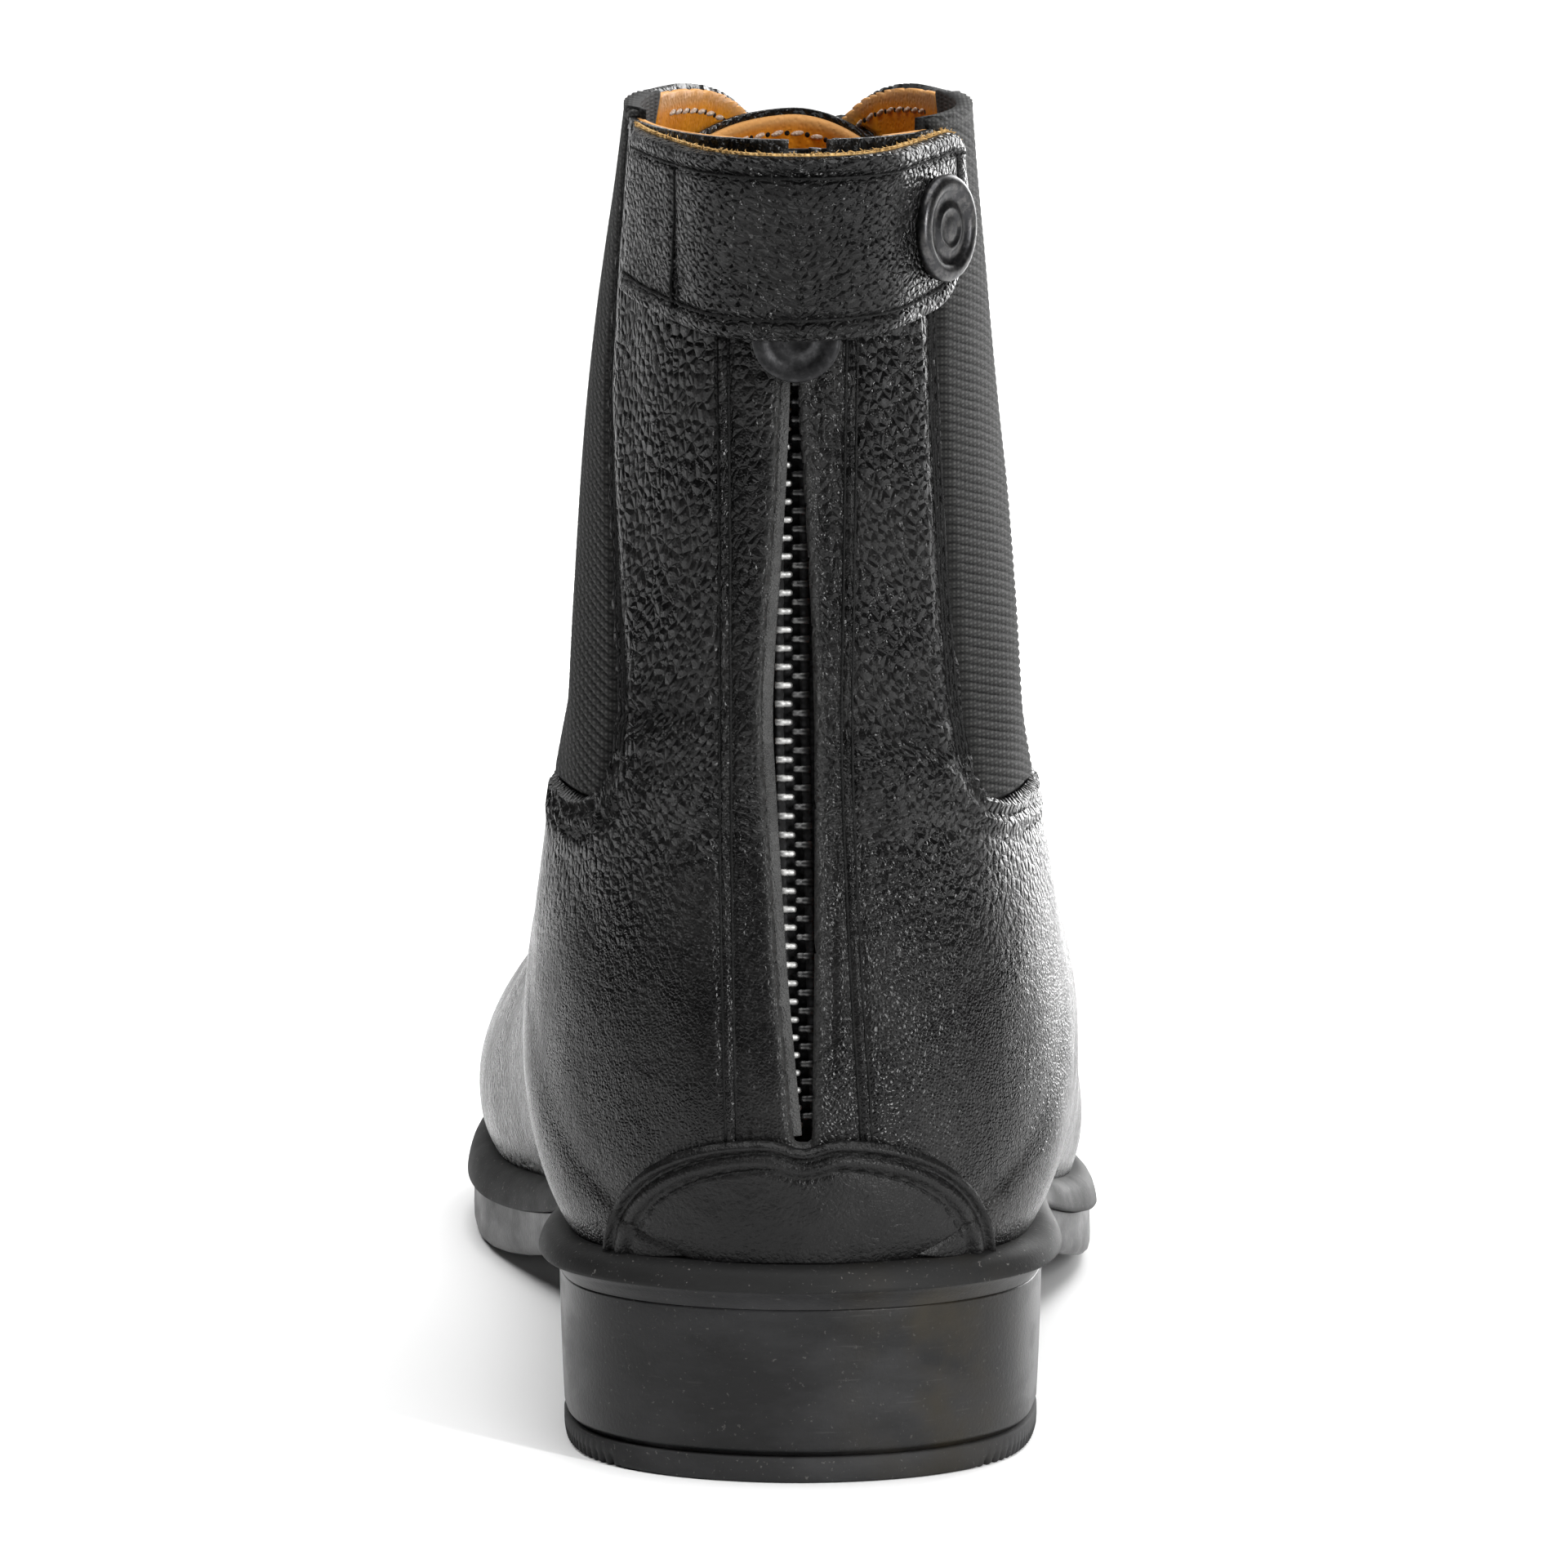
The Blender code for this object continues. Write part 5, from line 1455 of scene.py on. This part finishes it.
def add_pull():
    """Round zip pull of plain concentric rings on a loop that hangs under the slider's bridge."""
    low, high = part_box("zip_pull")
    middle = np.array([(low.x + high.x) / 2, (low.y + high.y) / 2, 0.0]) / MM + np.array([0, HEEL_CENTRE, 0])
    half = (high.y - low.y) / 2 / MM
    rings = ((0.0, 0.15), (0.25, 0.15), (0.30, 0.0), (0.42, 0.0), (0.47, 0.3), (0.66, 0.3), (0.72, 0.0),
             (0.90, 0.0), (0.97, 0.12), (1.0, 0.4))
    profile = [(share * PULL_DISC_RADIUS, half - less) for share, less in rings]
    profile += [(PULL_DISC_RADIUS, 0.3 - half), (0.95 * PULL_DISC_RADIUS, -half), (0.0, -half)]
    points, faces = turned(profile, 72)
    pull = Parts()
    pull.add(facing(points, middle + np.array([0, 0, PULL_DISC_Z]), (0.0, -1.0, 0.0)), faces)
    reach = np.linspace(0, math.pi, 15)
    loop = [(2.2, PIVOT_Z - 8.0)] + [(2.2 * math.cos(a), PIVOT_Z - 1.7 + 1.7 * math.sin(a)) for a in reach]
    loop.append((-2.2, PIVOT_Z - 8.0))
    add_tube(pull, [middle + np.array([x, 0.0, z]) for x, z in loop], 0.5, 10)
    pull.piece("zip_pull_rings", "dark_steel", "zip_metal", ["zip_pull"], body="zip_pull")


# Tongue, collar stitching, eyelets and lace
TONGUE_HALF = 19.5
TONGUE_LEAN = -2.0
TONGUE_FOOT = 84.0
TONGUE_TOP = 182.7
TONGUE_ARCH = 5.5
LACE_RADIUS = 1.2
LINING_PITCH = 2.9
LINING_THREAD = 0.42
LINING_ROW = 2.9
FINE_STITCH = (2.4, 1.8, 0.3)
STRIP_LINES = (1.2, 2.0, 2.8)


def sew_lining(cream, path, normals):
    """Cream stitches along the lining, with dark dots of painted shade for the needle holes."""
    add_stitches(cream, path, normals, LINING_PITCH, 2.1, LINING_THREAD, 0.0, 0.25)
    add_pinholes(BLACK_THREAD_AND_SHADE, path, normals, LINING_PITCH, LINING_THREAD)


def add_tongue(cream):
    def edges(z):
        middle = throat_middle(z) + TONGUE_LEAN * step(z, 120.0, 180.0)
        return front_turn(middle - TONGUE_HALF, z), front_turn(middle + TONGUE_HALF, z)

    def heights(less):
        def between(across):
            arch = TONGUE_ARCH * np.abs(2 * across - 1) ** 2.2
            return TONGUE_FOOT + 0 * across, TONGUE_TOP - less - arch

        return between

    patch = Patch(edges, heights(0.0), (60, 110))
    swell = 0.3 * waves(patch.point, 25.0, 31)
    drop = round_over(patch.from_edge, 0.5)
    points, faces = slab_mesh(patch.out(-3.4 + swell - drop), patch.out(-4.4 + swell + 0 * drop))
    item = add_piece("tongue_leather", points, faces, "leather", ["tongue"])
    set_points(item, grain=0.7, worn=0.0, dust=0.1)
    patch = Patch(edges, heights(0.9), (60, 110))
    swell = 0.3 * waves(patch.point, 25.0, 31)
    inner = -5.2 + swell + round_over(patch.from_edge, 0.4)
    points, faces = slab_mesh(patch.out(inner + 0.75), patch.out(inner))
    item = add_piece("tongue_lining", points, faces, "lining", ["tongue"])
    edge = 1 - step(patch.from_top, 1.4, 2.6)
    set_points(item, worn=np.concatenate([edge.reshape(-1), edge.reshape(-1)]))
    row = nearest(patch.from_top[:, 30], LINING_ROW)
    sew_lining(cream, patch.out(inner)[row, 4:-4], -patch.normal[row, 4:-4])


def add_collar_stitches(cream):
    """Cream thread along the lining, a little below the front edges of the collar."""
    for first, last in ((0.335, 0.462), (0.538, 0.665)):
        turn = np.linspace(first, last, 60)
        at = on_skin(np.full(60, COLLAR_TOP), turn)
        z = COLLAR_TOP - collar_dip(at[:, 0]) - 3.6
        sew_lining(cream, on_skin(z, turn, LINING_IN), -normal_at(z, turn))


def on_leather(z, turn, rise):
    """Points at a distance over the leather's own relief, and the normals there."""
    point = on_skin(z, turn)
    normal = normal_at(z, turn)
    return point + normal * (relief(point) + rise)[:, None], normal


def seam_row(threads_and_shade, x, z):
    """Stitches up the back at x for each height z, lying in the leather's own grooves, over a black tube of
    painted shade in the groove.
    """
    path, normal = on_leather(z, rear_turn(x, z), 0.14)
    add_tube(threads_and_shade, path - 0.08 * normal, GROOVE_SHADE_RADIUS, 6)
    add_stitches(threads_and_shade, path, normal, SEAM_PITCH, *SEAM_STITCH)


def add_upper_stitches(threads_and_shade):
    z = np.linspace(48.0, 183.0, 160)
    for gap in (-SEAM_HALF, SEAM_HALF):
        seam_row(threads_and_shade, panel_left(z) - gap, z)
        seam_row(threads_and_shade, panel_right(z) + gap, z)
    for side in GUSSET_SIDES:
        rear = GUSSET_REAR[side]
        z = np.linspace(GUSSET_BOTTOM + 7.0, 184.0, 90)
        rows = [(side_turn(side, rear(z) - 1.6, z), z), (side_turn(side, GUSSET_FRONT + 2.9, z), z)]
        y = np.linspace(rear(GUSSET_BOTTOM) + 3.0, GUSSET_FRONT - 3.0, 50)
        for inset in HEM_ROWS:
            below = np.full(50, GUSSET_BOTTOM - inset)
            rows.append((side_turn(side, y, below), below))
        for turn, height in rows:
            add_stitches(threads_and_shade, *on_leather(height, turn, 0.05), *FINE_STITCH)
        for inset in STRIP_LINES:
            turn = side_turn(side, rear(z) - inset, z)
            add_tube(threads_and_shade, on_leather(z, turn, -0.05)[0], 0.28, 6)
    z = np.linspace(98.0, 181.0, 90)
    for row in FACING_ROWS:
        for side in (-1, 1):
            turn = front_turn(throat_middle(z) + side * (THROAT_HALF + row), z)
            add_stitches(threads_and_shade, *on_leather(z, turn, -0.05), *FINE_STITCH)


def ring_turned(profile, sides):
    """Ring turned about local Z from a closed profile of radius and height."""
    spin = np.linspace(0, 2 * math.pi, sides, endpoint=False)
    profile = np.asarray(profile)
    points = np.stack([profile[:, None, 0] * np.cos(spin), profile[:, None, 0] * np.sin(spin),
                       profile[:, None, 1] + 0 * spin], axis=-1)
    ids = np.arange(len(profile) * sides).reshape(len(profile), sides)
    down = np.roll(ids, -1, axis=0)
    faces = np.stack([ids, np.roll(ids, -1, axis=1), np.roll(down, -1, axis=1), down], axis=-1).reshape(-1, 4)
    return points.reshape(-1, 3), faces.tolist()


def add_eyelets():
    profile = ((1.7, 0.9), (1.85, 1.2), (2.3, 1.35), (3.1, 1.25), (3.6, 0.95), (3.8, 0.6), (3.6, 0.35),
               (2.3, 0.35), (2.25, -2.2), (1.7, -2.2))
    shape, faces = ring_turned(profile, 32)
    counts = {"medial": 0, "lateral": 0}
    for z, turn, point, normal in EYELETS:
        side = "medial" if point[0] < throat_middle(z) else "lateral"
        counts[side] += 1
        name = side + "_" + str(counts[side])
        add_piece("eyelet_ring_" + name, facing(shape, point, normal), faces, "gunmetal",
                  ["eyelet_" + name])


def add_lace():
    """Crossings from eyelet to eyelet, each coming up out of one hole and going down into the next."""
    runs = Parts()
    heights = sorted({z for z, turn, point, normal in EYELETS})
    turns = {(z, point[0] > throat_middle(z)): turn for z, turn, point, normal in EYELETS}
    pairs = [((heights[0], False), (heights[0], True), 0.0)]
    for z0, z1 in zip(heights, heights[1:]):
        pairs += [((z0, False), (z1, True), 0.5), ((z0, True), (z1, False), -0.5)]
    shares = np.array([0.0, 0.0, 0.02, 0.06, 0.13, 0.25, 0.38, 0.5, 0.62, 0.75, 0.87, 0.94, 0.98, 1.0, 1.0])
    outs = np.array([-1.6, 0.2, 1.5, 2.3, 2.7, 2.5, 2.3, 2.2, 2.3, 2.5, 2.7, 2.3, 1.5, 0.2, -1.6])
    fine = np.linspace(0, len(shares) - 1, 61)
    for (z0, side0), (z1, side1), over in pairs:
        share = np.clip(catmull(shares, fine), 0, 1)
        out = catmull(outs, fine) + 2.2 * over * hill(share, 0.5, 0.16)
        z = z0 + (z1 - z0) * share
        turn = turns[(z0, side0)] + (turns[(z1, side1)] - turns[(z0, side0)]) * share
        add_tube(runs, on_skin(z, turn, out), LACE_RADIUS, 12)
    runs.piece("lace_cord", "lace", "lace_cord", ["lace"])


def add_strap_edge():
    """Tan backing that shows along the strap's top edge, with frayed fibres."""
    def heights(across):
        high = strap_heights(across)[1]
        return high - 4.0, high + 0.3

    patch = Patch(strap_edges, heights, (120, 5))
    inner = strap_inner(patch.point[..., 0])
    points, faces = slab_mesh(patch.out(inner + 0.05), patch.out(inner - 0.6))
    add_piece("strap_backing", points, faces, "suede", ["collar_strap"])
    random = np.random.default_rng(7)
    fibres = Parts()
    top = patch.out(inner + 0.1)[-1]
    for _ in range(420):
        share = random.uniform(0, 1) ** 1.5
        at = share * (len(top) - 1.001)
        low = int(at)
        root = top[low] + (top[low + 1] - top[low]) * (at - low)
        lean = unit(np.array([random.normal(0, 0.9), random.normal(-0.5, 0.5), random.uniform(-0.2, 0.8)]))
        long = random.uniform(0.15, 0.6)
        bend = np.array([random.normal(0, 0.25), -0.1, random.normal(0, 0.15)])
        path = [root, root + lean * long * 0.5 + bend * 0.3, root + lean * long + bend]
        add_tube(fibres, path, [0.09, 0.07, 0.03], 4)
    fibres.piece("strap_fibres", "suede", "lining_leather", ["collar_strap"])


def dress(name, look):
    """Better material for a CAD solid that keeps its own shape."""
    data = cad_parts[name].data
    data.materials.clear()
    data.materials.append(LOOKS[look])


CREAM_THREAD = Parts()
add_zip()
add_flap_edge()
add_pull()
add_tongue(CREAM_THREAD)
add_collar_stitches(CREAM_THREAD)
add_upper_stitches(BLACK_THREAD_AND_SHADE)
add_eyelets()
add_lace()
add_strap_edge()
dress("zip_tape", "tape")
dress("zip_slider", "dark_steel")
dress("insole", "lining")
# Black thread and the black tubes and dots of painted shade in grooves and needle holes
BLACK_THREAD_AND_SHADE.piece("black_stitches_and_painted_shade", "thread", "lace_cord", ["upper"])
CREAM_THREAD.piece("cream_stitches", "cream_thread", "lace_cord", ["upper"])


# Stage, light and camera
CAMERA_PLACE = (-0.0021, -1.474, 0.300)
CAMERA_PITCH = 7.98
CAMERA_FOCUS = 13055.0
PHOTO_SIDE = 1920.0
SENSOR = 36.0
FLOOR_REACH = 6.0
FLOOR_GREY = (0.26, 0.26, 0.26)
FLOOR_PALE = (0.96, 0.96, 0.96)
SUN_STRENGTH = 4.1
SUN_SPREAD = 70.0
LIGHT_TARGET = Vector((0.0, 0.0, 0.10))

# Area lights: place in metres, width and height in metres, and watts
LIGHTS = {
    "left_strip": ((-0.72, -0.80, 0.35), (0.06, 0.6), 0.25),
    "right_strip": ((0.68, -0.82, 0.38), (0.07, 0.6), 10.5),
    "left_rim": ((-0.50, 0.95, 0.30), (0.4, 0.9), 0.5),
    "right_rim": ((0.50, 0.95, 0.30), (0.4, 0.9), 10.0),
}


def add_camera():
    """Camera of the photograph, behind the heel and above the boot. CAMERA_FOCUS is in photo pixels."""
    data = bpy.data.cameras.new("camera")
    data.sensor_width = SENSOR
    data.lens = SENSOR * CAMERA_FOCUS / PHOTO_SIDE
    data.clip_start = 0.01
    camera = bpy.data.objects.new("camera", data)
    camera.location = CAMERA_PLACE
    camera.rotation_euler = (math.radians(90 - CAMERA_PITCH), 0.0, 0.0)
    bpy.context.scene.collection.objects.link(camera)
    bpy.context.scene.camera = camera


def add_light(name, place_at, size, watts):
    data = bpy.data.lights.new(name, "AREA")
    data.shape = "RECTANGLE"
    data.size, data.size_y = size
    data.energy = watts
    light = bpy.data.objects.new(name, data)
    light.location = place_at
    light.rotation_euler = (LIGHT_TARGET - Vector(place_at)).to_track_quat("-Z", "Y").to_euler()
    bpy.context.scene.collection.objects.link(light)


def add_floor():
    """Pale studio floor that turns greyer well behind the heel."""
    mesh = bpy.data.meshes.new("floor")
    corners = [(FLOOR_REACH * x, FLOOR_REACH * y, 0) for x, y in ((-1, -1), (1, -1), (1, 1), (-1, 1))]
    mesh.from_pydata(corners, [], [(0, 1, 2, 3)])
    material, tree, shader = new_material("floor", Roughness=0.9)
    along = node(tree, "ShaderNodeSeparateXYZ", {0: object_position(tree)}).outputs["Y"]
    shade = spread(tree, along, -0.45, -0.12, 0.0, 1.0)
    feed(tree, shader, Base_Color=blend_colour(tree, shade, FLOOR_GREY, FLOOR_PALE))
    mesh.materials.append(material)
    floor = bpy.data.objects.new("floor", mesh)
    bpy.context.scene.collection.objects.link(floor)


def add_world():
    """Studio walls: dim towards the heel's side, bright behind the toe, less so on the inner side."""
    world = bpy.data.worlds.new("studio")
    bpy.context.scene.world = world
    world.use_nodes = True
    tree = world.node_tree
    way = node(tree, "ShaderNodeSeparateXYZ", {0: node(tree, "ShaderNodeTexCoord").outputs["Generated"]})
    inner = spread(tree, way.outputs["X"], -0.62, -0.12, -0.26, 0.0)
    strength = spread(tree, plus(tree, way.outputs["Y"], inner), 0.70, 0.98, 0.03, 1.0)
    tree.nodes["Background"].inputs["Color"].default_value = (1.0, 1.0, 1.0, 1.0)
    tree.links.new(strength, tree.nodes["Background"].inputs["Strength"])


def add_overhead():
    """Large even light from straight above, over the whole floor."""
    data = bpy.data.lights.new("overhead", "SUN")
    data.energy = SUN_STRENGTH
    data.angle = math.radians(SUN_SPREAD)
    bpy.context.scene.collection.objects.link(bpy.data.objects.new("overhead", data))


add_camera()
add_world()
add_floor()
add_overhead()
for light_name, light_values in LIGHTS.items():
    add_light(light_name, *light_values)
bpy.context.scene.view_settings.view_transform = "Standard"
